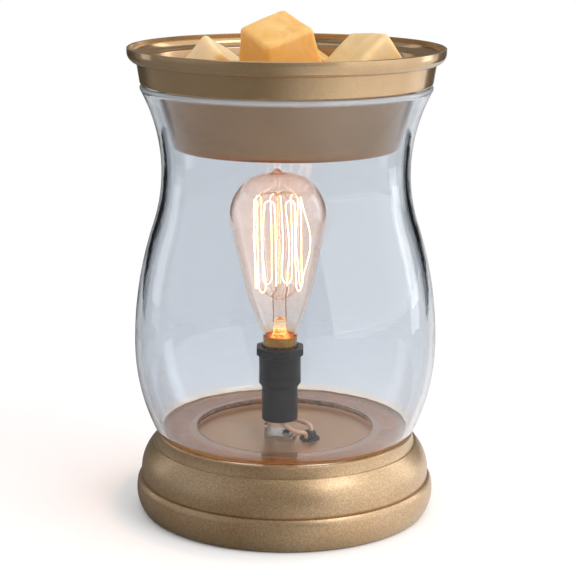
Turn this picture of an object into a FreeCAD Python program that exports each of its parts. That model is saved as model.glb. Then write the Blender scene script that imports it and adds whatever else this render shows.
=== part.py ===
"""Candle warmer lamp: a stepped metal base, a waisted clear glass shade, a pressed metal dish
for wax and, inside the glass, a filament bulb in a small socket on a bracket.

Millimetres. +Z is up, the origin is on the table under the middle of the base, and the front
of the lamp faces -Y.
"""
import FreeCAD, Part
import math
import os
import re
import Sketcher

Vector = FreeCAD.Vector
UP = Vector(0, 0, 1)
doc = FreeCAD.newDocument("candle_warmer")

# ---------------------------------------------------------------------------------- sizes
SIZES = {
    # base shell: plinth, dome and neck, drawn from one steel sheet
    "shell_lift": 0.6,              # gap between the shell's edge and the table
    "base_wall": 1.2,
    "plinth_radius": 61.3,          # at its shoulder; the shell's other radii count in from it
    "plinth_foot_in": 2.1,
    "plinth_bow_rise": 10.0,        # height of the plinth's bowed face
    "plinth_bow": 14.0,
    "plinth_top_in": 1.1,
    "plinth_height": 13.0,
    "plinth_shoulder_bow": 4.5,
    "dome_foot_in": 1.9,
    "dome_top_in": 6.7,
    "dome_height": 14.6,
    "dome_bow": 17.0,
    "quirk": 0.8,                   # small set-back that parts plinth, dome and neck
    "neck_root_in": 7.6,
    "neck_in": 8.4,
    "neck_height": 4.7,
    "neck_bow": 14.0,
    "neck_lip": 1.0,
    "floor_depth": 1.6,             # floor below the neck's lip
    # base cover, its posts, screws and feet
    "cover_gap": 0.4,
    "cover_sheet": 1.0,
    "cover_skirt": 1.6,             # turned down round the cover's edge
    "feet_height": 2.6,
    "feet_radius": 6.0,
    "feet_in": 11.3,                # feet and posts stand this far in from the plinth's shoulder
    "posts_in": 18.3,
    "post_radius": 3.4,
    "post_bore_depth": 10.0,
    "cover_screw_radius": 1.4,
    "cover_screw_length": 9.0,
    "cover_screw_head_radius": 2.9,
    "cover_screw_head_height": 1.6,
    "screw_gap": 0.1,               # round a screw in its hole
    # cord inlet at the back of the plinth
    "inlet_height": 8.6,
    "inlet_bore": 2.7,
    "inlet_wall": 0.9,
    "inlet_barb": 0.5,
    "inlet_barb_length": 2.6,
    "inlet_grip": 2.4,              # between barb and flange, with the shell's wall in it
    "inlet_rim": 1.6,
    "inlet_rim_sheet": 1.4,
    # glass shade
    "seal_height": 0.6,
    "seal_in": 3.7,                 # between the glass's hole and the ring
    "seal_width": 7.5,
    "glass_wall": 2.2,
    "glass_hole_in": 25.3,          # the glass's radii count in from its belly
    "glass_foot_round": 5.0,
    "glass_lower_bow": 82.0,
    "belly_out": 0.3,               # beyond the plinth
    "belly_height": 38.1,           # above the underside of the glass
    "waist_in": 11.5,
    "lip_rise": 34.5,               # from the waist up to the lip
    "lip_flare": 7.3,               # from the waist out to the middle of the lip
    # dish
    "dish_gap": 0.3,
    "dish_wall": 0.8,
    "bowl_depth": 25.2,
    "bowl_draft": 7.2,              # radius lost from the bowl's top to its foot
    "bowl_top_in": 4.8,             # inside the middle of the glass's lip
    "bowl_round": 2.4,
    "step_out": 0.9,                # outside the middle of the glass's lip
    "step_round": 1.2,
    "skirt_flare": 1.3,             # from the step to the top of the skirt
    "skirt_rise": 8.4,
    "rim_out": 3.8,                 # beyond the skirt
    "rim_turn": 4.4,                # height in which the sheet turns out and up
    "rim_bow": 4.4,
    "rim_rise": 14.4,
    # wax
    "wax_below_step": 2.8,
    "wax_gap": 0.1,
    "melt_small_end": 21.0,
    "melt_large_end": 23.6,
    "melt_length": 19.0,
    "tall_large_end": 26.0,
    "tall_length": 21.5,
    "melt_round": 1.6,
    # socket
    "socket_x": -2.1,
    "socket_y": -6.0,
    "socket_clear": 7.2,            # underside of the socket above the floor
    "skirt_radius": 7.35,
    "skirt_bore": 6.3,
    "skirt_height": 14.0,
    "barrel_radius": 8.55,
    "barrel_foot": 15.5,
    "barrel_bore": 6.9,
    "socket_height": 30.7,
    "partition_foot": 10.5,
    "partition_top": 13.5,
    "collar_flats": 18.95,
    "collar_height": 3.8,
    "collar_chamfer": 1.5,
    "collar_bevel": 1.0,
    "shell_bore": 6.05,
    "brass_sheet": 0.35,
    "screw_shell_height": 15.6,
    "screw_shell_hole": 3.0,
    "contact_width": 3.0,
    "contact_reach": 2.3,
    "contact_rise": 1.8,
    "terminal_sheet": 0.5,
    "terminal_width": 2.4,
    "terminal_drop": 6.0,
    "live_reach": 4.5,              # from a terminal's rivet to the outside of its tab
    "neutral_reach": 2.6,
    "neutral_rivet_y": 4.5,
    "rivet_radius": 0.8,
    "rivet_head_radius": 1.3,
    "rivet_head_height": 0.45,
    # bracket
    "bracket_turn": -8.0,           # degrees about the socket's axis
    "bracket_sheet": 1.2,
    "bracket_leg_x": -5.6,
    "bracket_foot_x": 6.8,
    "bracket_width": 11.0,
    "bracket_shoulder": 6.0,        # height at which the leg narrows
    "bracket_tongue_width": 5.0,
    "bracket_flange_x": -1.7,
    "bracket_rivet_x": -3.0,
    "bracket_screw_x": 3.8,
    "bracket_screw_radius": 1.5,
    "bracket_screw_length": 6.4,
    "bracket_screw_head_radius": 2.8,
    "bracket_screw_head_height": 1.6,
    "nut_flats": 5.5,
    "nut_height": 2.4,
    # wire grommet and leads
    "grommet_x": 10.2,
    "grommet_y": -10.6,
    "grommet_neck": 3.4,
    "grommet_flange": 4.1,
    "grommet_flange_height": 0.8,
    "grommet_tail": 1.2,
    "grommet_dome_foot": 2.9,
    "grommet_dome_top": 2.5,
    "grommet_height": 3.2,
    "lead_radius": 0.9,
    "live_lead_x": 8.85,            # in the grommet
    "live_lead_y": -12.4,
    "live_lead_rise": 3.1,          # over the floor, where it turns down
    "live_bend_x": 4.4,             # on its way to the grommet
    "live_bend_y": -13.8,
    "live_bend_rise": 3.5,
    "live_leave_rise": 6.9,         # where it leaves its terminal's line
    "live_back_x": 6.0,             # on its way to the connector
    "live_back_y": -2.0,
    "neutral_lead_x": 10.9,
    "neutral_lead_y": -9.8,
    "neutral_lead_rise": 5.8,
    "neutral_bend_x": 6.5,
    "neutral_bend_y": -6.3,
    "neutral_bend_rise": 6.1,
    "neutral_leave_rise": 6.1,
    "neutral_back_x": 12.6,
    "neutral_back_y": -1.0,
    "lead_drop": 17.0,              # straight down from the floor
    "lead_back_rise": 1.2,
    "lead_straight": 7.0,           # into the connector
    "live_connector_x": 3.5,
    "neutral_connector_x": 12.5,
    "connector_y": 18.0,
    "connector_radius": 2.9,
    "connector_length": 13.0,
    # bulb
    "cap_radius": 5.87,
    "cap_sheet": 0.3,
    "cap_foot": 18.9,               # above the underside of the socket
    "cap_thread_top": 30.1,
    "cap_skirt_foot": 31.5,
    "cap_skirt_radius": 6.95,
    "cap_rim": 35.4,
    "cap_glass_radius": 5.0,
    "cap_glass_foot": 16.4,
    "contact_button_radius": 2.5,
    "contact_button_height": 1.0,
    "bulb_lean": -1.2,              # degrees, the glass in its cap
    "bulb_wall": 0.7,
    "bulb_neck_radius": 6.4,
    "bulb_neck_depth": 3.0,
    "bulb_cone_foot": 18.7,
    "bulb_taper": 12.4,             # degrees
    "bulb_radius": 19.55,
    "bulb_crown": 19.6,             # from the round's centre up to the tip
    "crown_radius": 11.5,
    "crown_bow": 26.0,
    "tip_foot_radius": 2.9,
    "tip_drop": 1.9,                # from the tip down to its foot
    "tip_radius": 1.3,
    "tip_cap": 0.6,
    "bulb_height": 68.8,
    "bulb_gap": 7.9,                # between the bulb's tip and the dish
    "stem_radius": 2.4,
    "stem_rise": 4.0,
    "press_width": 6.4,
    "press_depth": 2.2,
    "press_top": 6.5,
    "rod_radius": 0.8,
    "hub_radius": 1.5,
    "hub_height": 1.1,
    "lower_hub": 15.2,
    "hub_over_centre": 9.6,
    "cage_radius": 9.6,
    "strand_foot": 18.6,
    "strand_over_centre": 5.6,
    "filament_radius": 0.16,
    "support_radius": 0.14,
    "inner_lead_radius": 0.25,
    "inner_lead_x": 2.6,
}
FEET = 4
POSTS = 3
STRANDS = 14                        # an even number: one more loop above than below

sheet = doc.addObject("Spreadsheet::Sheet", "Sizes")
for row, (alias, number) in enumerate(SIZES.items(), start=1):
    sheet.set(f"A{row}", alias)
    sheet.set(f"B{row}", str(number))
    sheet.setAlias(f"B{row}", alias)
doc.recompute()


# ------------------------------------------------------------------------------- helpers
def value(text):
    """The number that an expression of the sheet's names gives."""
    number = sheet.evalExpression(text)
    return float(getattr(number, "Value", number))


def bound(text):
    """The same expression as another object writes it."""
    return re.sub(r"[a-z_]+", lambda word: f"Sizes.{word[0]}" if word[0] in SIZES else word[0], text)


def tie(thing, prop, text):
    thing.setExpression(prop, bound(text))


def place(thing, across="0", depth="0", height="0", axis=UP, turn="0"):
    """Puts an object at a bound place, turned by a bound angle about one axis."""
    spot = Vector(value(across), value(depth), value(height))
    thing.Placement = FreeCAD.Placement(spot, FreeCAD.Rotation(axis, value(turn)))
    for letter, text in (("x", across), ("y", depth), ("z", height)):
        tie(thing, f"Placement.Base.{letter}", text)
    if turn != "0":
        tie(thing, "Placement.Rotation.Angle", turn)
    return thing


def new_body(name, **where):
    body = doc.addObject("PartDesign::Body", name)
    body.Label = name
    return place(body, **where)


def sketch_on(body, name, role, height="0"):
    """A sketch on one of the body's own planes, raised along the plane's normal."""
    sketch = body.newObject("Sketcher::SketchObject", name)
    plane = next(item for item in body.Origin.OriginFeatures if item.Role == role)
    sketch.AttachmentSupport = [(plane, "")]
    sketch.MapMode = "FlatFace"
    if height != "0":
        tie(sketch, "AttachmentOffset.Base.z", height)
    return sketch


def at(across, up, **bend):
    """A corner of an outline. round= rounds it. The side that leaves it is straight, or swells
    out of the material or hollows into it on an arc of the radius given."""
    return dict(across=across, up=up, **bend)


def arc_between(start, stop, radius, swells):
    chord = stop - start
    left = Vector(-chord.y, chord.x, 0).normalize()
    reach = math.sqrt(max(radius ** 2 - (chord.Length / 2) ** 2, 0))
    centre = (start + stop) * 0.5 + left * (reach if swells else -reach)
    first, last = (start, stop) if swells else (stop, start)
    angles = [math.atan2(end.y - centre.y, end.x - centre.x) for end in (first, last)]
    return Part.ArcOfCircle(Part.Circle(centre, UP, radius), *angles)


def pin_point(sketch, geometry, end, across, up):
    """Ties one point of a sketch to its bound place."""
    for kind, text, axis in (("DistanceX", across, -2), ("DistanceY", up, -1)):
        if text == "0":
            sketch.addConstraint(Sketcher.Constraint("PointOnObject", geometry, end, axis))
        else:
            distance = Sketcher.Constraint(kind, -1, 1, geometry, end, value(text))
            tie(sketch, f"Constraints[{sketch.addConstraint(distance)}]", text)


def pin_radius(sketch, geometry, radius):
    fixed = sketch.addConstraint(Sketcher.Constraint("Radius", geometry, value(radius)))
    tie(sketch, f"Constraints[{fixed}]", radius)


def draw(sketch, corners):
    """A closed outline, drawn counter-clockwise with the material on its left."""
    first = len(sketch.Geometry)
    count = len(corners)
    spots = [Vector(value(corner["across"]), value(corner["up"]), 0) for corner in corners]
    ends = []
    for index, corner in enumerate(corners):
        start, stop = spots[index], spots[(index + 1) % count]
        radius = corner.get("swell") or corner.get("hollow")
        if radius:
            sketch.addGeometry(arc_between(start, stop, value(radius), "swell" in corner), False)
        else:
            sketch.addGeometry(Part.LineSegment(start, stop), False)
        ends.append((2, 1) if "hollow" in corner else (1, 2))
    for index in range(count):
        after = (index + 1) % count
        join = (first + index, ends[index][1], first + after, ends[after][0])
        sketch.addConstraint(Sketcher.Constraint("Coincident", *join))
    for index, corner in enumerate(corners):
        pin_point(sketch, first + index, ends[index][0], corner["across"], corner["up"])
        radius = corner.get("swell") or corner.get("hollow")
        if radius:
            pin_radius(sketch, first + index, radius)
    for index, corner in enumerate(corners):
        if "round" in corner:
            rounding = len(sketch.Geometry)
            here, after = spots[index], spots[(index + 1) % count]
            near = [here + (spot - here) * 0.2 for spot in (spots[index - 1], after)]
            sides = (first + (index - 1) % count, first + index)
            sketch.fillet(*sides, *near, value(corner["round"]), True, True)
            pin_radius(sketch, rounding, corner["round"])
    return sketch


def draw_circle(sketch, radius, across="0", up="0"):
    spot = Vector(value(across), value(up), 0)
    circle = sketch.addGeometry(Part.Circle(spot, UP, value(radius)), False)
    pin_point(sketch, circle, 3, across, up)
    pin_radius(sketch, circle, radius)
    return sketch


def revolve(body, corners, name="turned", kind="PartDesign::Revolution"):
    sketch = draw(sketch_on(body, f"{name}_outline", "XZ_Plane"), corners)
    feature = body.newObject(kind, name)
    feature.Profile = sketch
    feature.ReferenceAxis = (sketch, ["V_Axis"])
    feature.Angle = 360
    return body


def turned(name, corners, **where):
    """A body turned about its own upright axis."""
    return revolve(new_body(name, **where), corners)


def extrude(body, sketch, length, name="plate", both_ways=False):
    feature = body.newObject("PartDesign::Pad", name)
    feature.Profile = sketch
    feature.Midplane = both_ways
    tie(feature, "Length", length)
    return feature


def cut_through(body, sketch, name, towards_normal=False):
    feature = body.newObject("PartDesign::Pocket", name)
    feature.Profile = sketch
    feature.Type = "ThroughAll"
    feature.Reversed = towards_normal
    return feature


def polygon(count, flats, turn=0.0):
    """Corners of a regular polygon, from its distance across flats."""
    reach = f"({flats}) / 2 / cos({180 / count})"
    angles = [turn + 360 * (step + 0.5) / count for step in range(count)]
    return [at(f"{reach} * cos({angle})", f"{reach} * sin({angle})") for angle in angles]


def group(name, members):
    """Several like pieces in one node."""
    compound = doc.addObject("Part::Compound", name)
    compound.Label = name
    compound.Links = members
    return compound


def around(count, circle, first=0.0):
    """Bound places on a circle."""
    for step in range(count):
        angle = first + 360 * step / count
        yield f"{circle} * cos({angle})", f"{circle} * sin({angle})"


def solid_of(name, shape):
    """A piece that no feature fits, from its own shape."""
    feature = doc.addObject("Part::Feature", name)
    feature.Label = name
    feature.Shape = shape
    return feature


def round_wire(path, radius):
    """A round wire swept along a path of lines and tangent arcs."""
    start = path.OrderedVertexes[0].Point
    heading = path.OrderedEdges[0].tangentAt(path.OrderedEdges[0].FirstParameter)
    section = Part.Wire(Part.makeCircle(radius, start, heading))
    return path.makePipeShell([section], True, False)


def bent_path(points):
    """Straight runs joined by tangent arcs as large as the shorter run beside each allows."""
    spots = [Vector(*point) for point in points]
    edges = []
    start = spots[0]
    for before, here, after in zip(spots, spots[1:], spots[2:]):
        back, onward = before - here, after - here
        half_turn = (math.pi - back.getAngle(onward)) / 2
        cut = 0.45 * min(back.Length, onward.Length)
        radius = cut / math.tan(half_turn)
        back.normalize()
        onward.normalize()
        inward = (back + onward).normalize()
        enter, leave = here + back * cut, here + onward * cut
        middle = here + inward * (radius / math.cos(half_turn) - radius)
        edges += [Part.LineSegment(start, enter).toShape(), Part.Arc(enter, middle, leave).toShape()]
        start = leave
    edges.append(Part.LineSegment(start, spots[-1]).toShape())
    return Part.Wire(edges)


# ---------------------------------------------------------------------------------- levels
COVER_FOOT = "feet_height"
COVER_TOP = f"({COVER_FOOT} + cover_sheet)"
LEDGE = "(shell_lift + plinth_height)"
GROOVE = f"({LEDGE} + dome_height)"
NECK_TOP = f"({GROOVE} + neck_height)"
FLOOR = f"({NECK_TOP} - floor_depth)"
GLASS_FOOT = f"({FLOOR} + seal_height)"
SOCKET_FOOT = f"({FLOOR} + socket_clear)"
BULB_RIM = f"({SOCKET_FOOT} + cap_rim)"
DISH_SEAT = f"({BULB_RIM} + bulb_height + bulb_gap + bowl_depth)"
GLASS_HEIGHT = f"({DISH_SEAT} - dish_gap - {GLASS_FOOT})"      # the shade is as tall as the bulb asks
PLINTH_BACK = "(plinth_radius + screw_gap * 3)"
AT_SOCKET = dict(across="socket_x", depth="socket_y")

# ----------------------------------------------------------------------------------- radii
PLINTH_FOOT = "(plinth_radius - plinth_foot_in)"
DOME_FOOT = "(plinth_radius - dome_foot_in)"
DOME_TOP = "(plinth_radius - dome_top_in)"
NECK_ROOT = "(plinth_radius - neck_root_in)"
NECK = "(plinth_radius - neck_in)"
FEET_CIRCLE = "(plinth_radius - feet_in)"
POST_CIRCLE = "(plinth_radius - posts_in)"
BELLY = "(plinth_radius + belly_out)"
WAIST = f"({BELLY} - waist_in)"
GLASS_HOLE = f"({BELLY} - glass_hole_in)"

# From the belly the glass swells in on one arc, then flares out on the next, tangent to it at the
# waist's lean and run on to the lip.
WAIST_HEIGHT = f"({GLASS_HEIGHT} - lip_rise)"
GLASS_RISE = f"({WAIST_HEIGHT} - belly_height)"
GLASS_LEAN = f"(2 * atan(waist_in / {GLASS_RISE}))"
LIP = "(glass_wall / 2)"
LIP_CLIMB = f"(lip_rise - {LIP})"
WAIST_BOW = f"((lip_flare^2 + {LIP_CLIMB}^2 - {LIP}^2) / (lip_flare + {LIP}) / 2)"
BELLY_BOW = f"({GLASS_RISE} / sin({GLASS_LEAN}) - {WAIST_BOW})"
LIP_MIDDLE = f"({WAIST} + lip_flare)"
BOWL_TOP = f"({LIP_MIDDLE} - bowl_top_in)"
BOWL_FOOT = f"({BOWL_TOP} - bowl_draft)"
STEP = f"({LIP_MIDDLE} + step_out)"


# ------------------------------------------------------------------------------ base shell
def make_base_shell():
    """Plinth, dome and neck in one drawn sheet, closed on top by the floor the glass stands on."""
    floor_under = f"({FLOOR} - base_wall)"
    body = turned("base_shell", [
        at(PLINTH_FOOT, "shell_lift", swell="plinth_bow"),
        at("plinth_radius", "shell_lift + plinth_bow_rise", swell="plinth_shoulder_bow"),
        at("plinth_radius - plinth_top_in", LEDGE),
        at(f"{DOME_FOOT} - quirk / 2", LEDGE),
        at(DOME_FOOT, f"{LEDGE} + quirk", swell="dome_bow"),
        at(DOME_TOP, GROOVE),
        at(NECK_ROOT, GROOVE, hollow="neck_bow"),
        at(NECK, NECK_TOP, round="neck_lip * 0.45"),
        at(f"{NECK} - neck_lip", NECK_TOP, round="neck_lip * 0.45"),
        at(f"{NECK} - neck_lip", FLOOR),
        at("0", FLOOR),
        at("0", floor_under),
        at(f"{NECK} - base_wall", floor_under, round="base_wall"),
        at(f"{NECK_ROOT} - base_wall", f"{GROOVE} - base_wall"),
        at(f"{DOME_TOP} - base_wall", f"{GROOVE} - base_wall", hollow="dome_bow - base_wall"),
        at(f"{DOME_FOOT} - base_wall", f"{LEDGE} - base_wall"),
        at("plinth_radius - plinth_top_in - base_wall / 2", f"{LEDGE} - base_wall"),
        at("plinth_radius - base_wall", "shell_lift + plinth_bow_rise", hollow="plinth_bow - base_wall"),
        at(f"{PLINTH_FOOT} - base_wall", "shell_lift"),
    ])
    holes = sketch_on(body, "floor_holes", "XY_Plane")
    draw_circle(holes, "grommet_neck + screw_gap", "grommet_x", "grommet_y")
    screw_x = "socket_x + bracket_screw_x * cos(bracket_turn)"
    screw_y = "socket_y + bracket_screw_x * sin(bracket_turn)"
    draw_circle(holes, "bracket_screw_radius + screw_gap", screw_x, screw_y)
    cut_through(body, holes, "floor_cut", towards_normal=True)
    inlet = draw_circle(sketch_on(body, "inlet_hole", "XZ_Plane"), "inlet_bore + inlet_wall + screw_gap",
                        up="inlet_height")
    cut_through(body, inlet, "inlet_cut")
    return body


def make_cover():
    """Pressed plate that closes the base from below, its edge turned down."""
    edge = f"({PLINTH_FOOT} - base_wall - cover_gap)"
    body = turned("base_cover", [
        at("0", COVER_FOOT),
        at(f"{edge} - cover_sheet", COVER_FOOT, round="cover_sheet / 2"),
        at(f"{edge} - cover_sheet", f"{COVER_FOOT} - cover_skirt"),
        at(edge, f"{COVER_FOOT} - cover_skirt"),
        at(edge, COVER_TOP, round="cover_sheet * 1.5"),
        at("0", COVER_TOP),
    ])
    holes = sketch_on(body, "screw_holes", "XY_Plane")
    for across, depth in around(POSTS, POST_CIRCLE, 30):
        draw_circle(holes, "cover_screw_radius + screw_gap * 2", across, depth)
    cut_through(body, holes, "screw_cut", towards_normal=True)
    return body


def make_posts():
    """Posts welded under the floor, bored from below for the cover's screws."""
    length = f"({FLOOR} - base_wall - {COVER_TOP})"
    bore = "cover_screw_radius + screw_gap"
    posts = [turned(f"cover_post_{number}", [
        at(bore, "0"),
        at("post_radius", "0"),
        at("post_radius", length),
        at("0", length),
        at("0", "post_bore_depth"),
        at(bore, "post_bore_depth"),
    ], across=across, depth=depth, height=COVER_TOP)
        for number, (across, depth) in enumerate(around(POSTS, POST_CIRCLE, 30), start=1)]
    return group("cover_posts", posts)


def make_cover_screws():
    screws = [turned(f"cover_screw_{number}", [
        at("0", "-cover_screw_head_height"),
        at("cover_screw_head_radius * 0.6", "-cover_screw_head_height", swell="cover_screw_head_radius"),
        at("cover_screw_head_radius", "-cover_screw_head_height * 0.3"),
        at("cover_screw_head_radius", "0"),
        at("cover_screw_radius", "0"),
        at("cover_screw_radius", "cover_screw_length"),
        at("0", "cover_screw_length"),
    ], across=across, depth=depth, height=COVER_FOOT)
        for number, (across, depth) in enumerate(around(POSTS, POST_CIRCLE, 30), start=1)]
    return group("cover_screws", screws)


def make_feet():
    """Soft round feet stuck under the cover."""
    feet = [turned(f"rubber_foot_{number}", [
        at("0", "0"),
        at("feet_radius", "0", round="feet_height * 0.4"),
        at("feet_radius", "feet_height"),
        at("0", "feet_height"),
    ], across=across, depth=depth)
        for number, (across, depth) in enumerate(around(FEET, FEET_CIRCLE, 45), start=1)]
    return group("rubber_feet", feet)


def make_cord_inlet():
    """Snap-in bush for the supply cord, its axis pointing straight back."""
    neck = "(inlet_bore + inlet_wall)"
    seat = "(inlet_barb_length + inlet_grip)"
    rim = f"({neck} + inlet_rim)"
    end = f"({seat} + inlet_rim_sheet)"
    return turned("cord_inlet", [
        at("inlet_bore", "0"),
        at(neck, "0"),
        at(f"{neck} + inlet_barb", "inlet_barb_length"),
        at(neck, "inlet_barb_length"),
        at(neck, seat),
        at(rim, seat),
        at(rim, end, round="inlet_rim_sheet / 2"),
        at("inlet_bore", end),
    ], depth=f"{PLINTH_BACK} - {seat}", height="inlet_height", axis=Vector(1, 0, 0), turn="-90")


# ------------------------------------------------------------------------------------ glass
def make_glass():
    """Blown shade of even wall: a turned-in foot with a wide hole, a belly, a waist and a
    flared, melted lip. Each arc is tangent to the next."""
    foot_sine = "((belly_height - glass_foot_round) / (glass_lower_bow - glass_foot_round))"
    foot_cosine = f"sqrt(1 - {foot_sine} * {foot_sine})"
    foot_centre = f"({BELLY} - glass_lower_bow + (glass_lower_bow - glass_foot_round) * {foot_cosine})"

    def foot_side(inset):
        across = f"{BELLY} - glass_lower_bow + (glass_lower_bow - {inset}) * {foot_cosine}"
        return across, f"belly_height - (glass_lower_bow - {inset}) * {foot_sine}"

    def shoulder(inset):
        across = f"{BELLY} - {BELLY_BOW} + ({BELLY_BOW} - {inset}) * cos({GLASS_LEAN})"
        return across, f"belly_height + ({BELLY_BOW} - {inset}) * sin({GLASS_LEAN})"

    def mouth(inset):
        across = f"{WAIST} + {WAIST_BOW} - ({WAIST_BOW} + {inset}) * {lip_cosine}"
        return across, f"{WAIST_HEIGHT} + ({WAIST_BOW} + {inset}) * {lip_sine}"

    lip_sine = f"({LIP_CLIMB} / ({WAIST_BOW} + {LIP}))"
    lip_cosine = f"(({WAIST_BOW} - lip_flare) / ({WAIST_BOW} + {LIP}))"
    lip_top = f"{LIP_MIDDLE} + {LIP} * {lip_sine}", f"{GLASS_HEIGHT} - {LIP} + {LIP} * {lip_cosine}"
    return turned("glass_shade", [
        at(GLASS_HOLE, "0"),
        at(foot_centre, "0", swell="glass_foot_round"),
        at(*foot_side("0"), swell="glass_lower_bow"),
        at(BELLY, "belly_height", swell=BELLY_BOW),
        at(*shoulder("0"), hollow=WAIST_BOW),
        at(*mouth("0"), swell=LIP),
        at(*lip_top, swell=LIP),
        at(*mouth("glass_wall"), swell=f"{WAIST_BOW} + glass_wall"),
        at(*shoulder("glass_wall"), hollow=f"{BELLY_BOW} - glass_wall"),
        at(f"{BELLY} - glass_wall", "belly_height", hollow="glass_lower_bow - glass_wall"),
        at(*foot_side("glass_wall"), hollow="glass_foot_round - glass_wall"),
        at(foot_centre, "glass_wall"),
        at(GLASS_HOLE, "glass_wall"),
    ], height=GLASS_FOOT)


def make_glass_seal():
    """Flat ring of clear silicone that the glass is bedded on."""
    inner = f"{GLASS_HOLE} + seal_in"
    return turned("glass_seal", [
        at(inner, "0"),
        at(f"{inner} + seal_width", "0"),
        at(f"{inner} + seal_width", "seal_height"),
        at(inner, "seal_height"),
    ], height=FLOOR)


# ------------------------------------------------------------------------------- dish and wax
def make_dish():
    """Pressed dish: a flat-bottomed bowl, a step that sits on the glass, a flared skirt and a
    quarter round that turns out and up into the rim. Heights count from the step's underside."""
    skirt = f"({STEP} + skirt_flare)"
    rim = f"({skirt} + rim_out)"
    return turned("dish", [
        at("0", "-bowl_depth"),
        at(BOWL_FOOT, "-bowl_depth", round="bowl_round"),
        at(BOWL_TOP, "0"),
        at(STEP, "0", round="step_round"),
        at(skirt, "skirt_rise", swell="rim_bow"),
        at(rim, "skirt_rise + rim_turn"),
        at(rim, "rim_rise", round="dish_wall * 0.4"),
        at(f"{rim} - dish_wall", "rim_rise", round="dish_wall * 0.4"),
        at(f"{rim} - dish_wall", "skirt_rise + rim_turn", hollow="rim_bow - dish_wall"),
        at(f"{skirt} - dish_wall * 0.8", "skirt_rise + dish_wall", round="dish_wall * 0.8"),
        at(f"{STEP} - dish_wall", "dish_wall", round="step_round - dish_wall"),
        at(f"{BOWL_TOP} - dish_wall", "dish_wall"),
        at(f"{BOWL_FOOT} - dish_wall", "dish_wall - bowl_depth", round="bowl_round - dish_wall"),
        at("0", "dish_wall - bowl_depth"),
    ], height=DISH_SEAT)


def make_wax_bed():
    """Wax set in the bowl from the last use, which the fresh melts stand on."""
    depth = "(bowl_depth - dish_wall - wax_below_step)"
    foot = f"({BOWL_FOOT} - dish_wall * 1.1 - wax_gap)"
    return turned("wax_bed", [
        at("0", "0"),
        at(foot, "0", round="bowl_round"),
        at(f"{foot} + bowl_draft / bowl_depth * {depth}", depth),
        at("0", depth),
    ], height=f"{DISH_SEAT} - bowl_depth + dish_wall")


WAX_TOP = f"({DISH_SEAT} - wax_below_step)"
# each melt's centre across, in depth and over the wax bed, as shares of the bowl's top radius,
# then its yaw, pitch and roll
MELTS = {
    "wax_melt_left": (-0.565, 0.222, 0.082, 173.5, 49.5, 141.3),
    "wax_melt_middle": (-0.057, -0.219, 0.313, 124.2, -18.4, 69.4),
    "wax_melt_right": (0.583, -0.004, 0.179, 133.7, 2.8, 55.7),
    "wax_melt_back": (0.171, 0.532, 0.076, 0.0, 35.0, -90.0),
}


def make_melt(name, across, depth, height, *turn):
    """A moulded block of wax with drafted sides, softened flat where it stands on the bed."""
    kind = "tall" if name == "wax_melt_middle" else "melt"
    large, length = f"{kind}_large_end", f"{kind}_length"
    block = doc.addObject("PartDesign::Body", f"{name}_block")
    wedge = block.newObject("PartDesign::AdditiveWedge", "moulded")
    for letter, end in (("", large), ("2", "melt_small_end")):
        for axis in "XZ":
            tie(wedge, f"{axis}{letter}min", f"-{end} / 2")
            tie(wedge, f"{axis}{letter}max", f"{end} / 2")
    tie(wedge, "Ymin", f"-{length} / 2")
    tie(wedge, "Ymax", f"{length} / 2")
    doc.recompute()
    rounding = block.newObject("PartDesign::Fillet", "rounded")
    rounding.Base = (wedge, [f"Edge{number}" for number in range(1, 13)])
    tie(rounding, "Radius", "melt_round")
    spot = [f"{BOWL_TOP} * {across}", f"{BOWL_TOP} * {depth}", f"{WAX_TOP} + {BOWL_TOP} * {height}"]
    block.Placement = FreeCAD.Placement(Vector(*map(value, spot)), FreeCAD.Rotation(*turn))
    for letter, text in zip("xyz", spot):
        tie(block, f"Placement.Base.{letter}", text)
    below = doc.addObject("Part::Box", f"{name}_below")
    for side in ("Length", "Width", "Height"):
        tie(below, side, f"{large} * 2")
    place(below, f"{spot[0]} - {large}", f"{spot[1]} - {large}", f"{WAX_TOP} + wax_gap - {large} * 2")
    melt = doc.addObject("Part::Cut", name)
    melt.Label = name
    melt.Base, melt.Tool = block, below
    return melt


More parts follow.
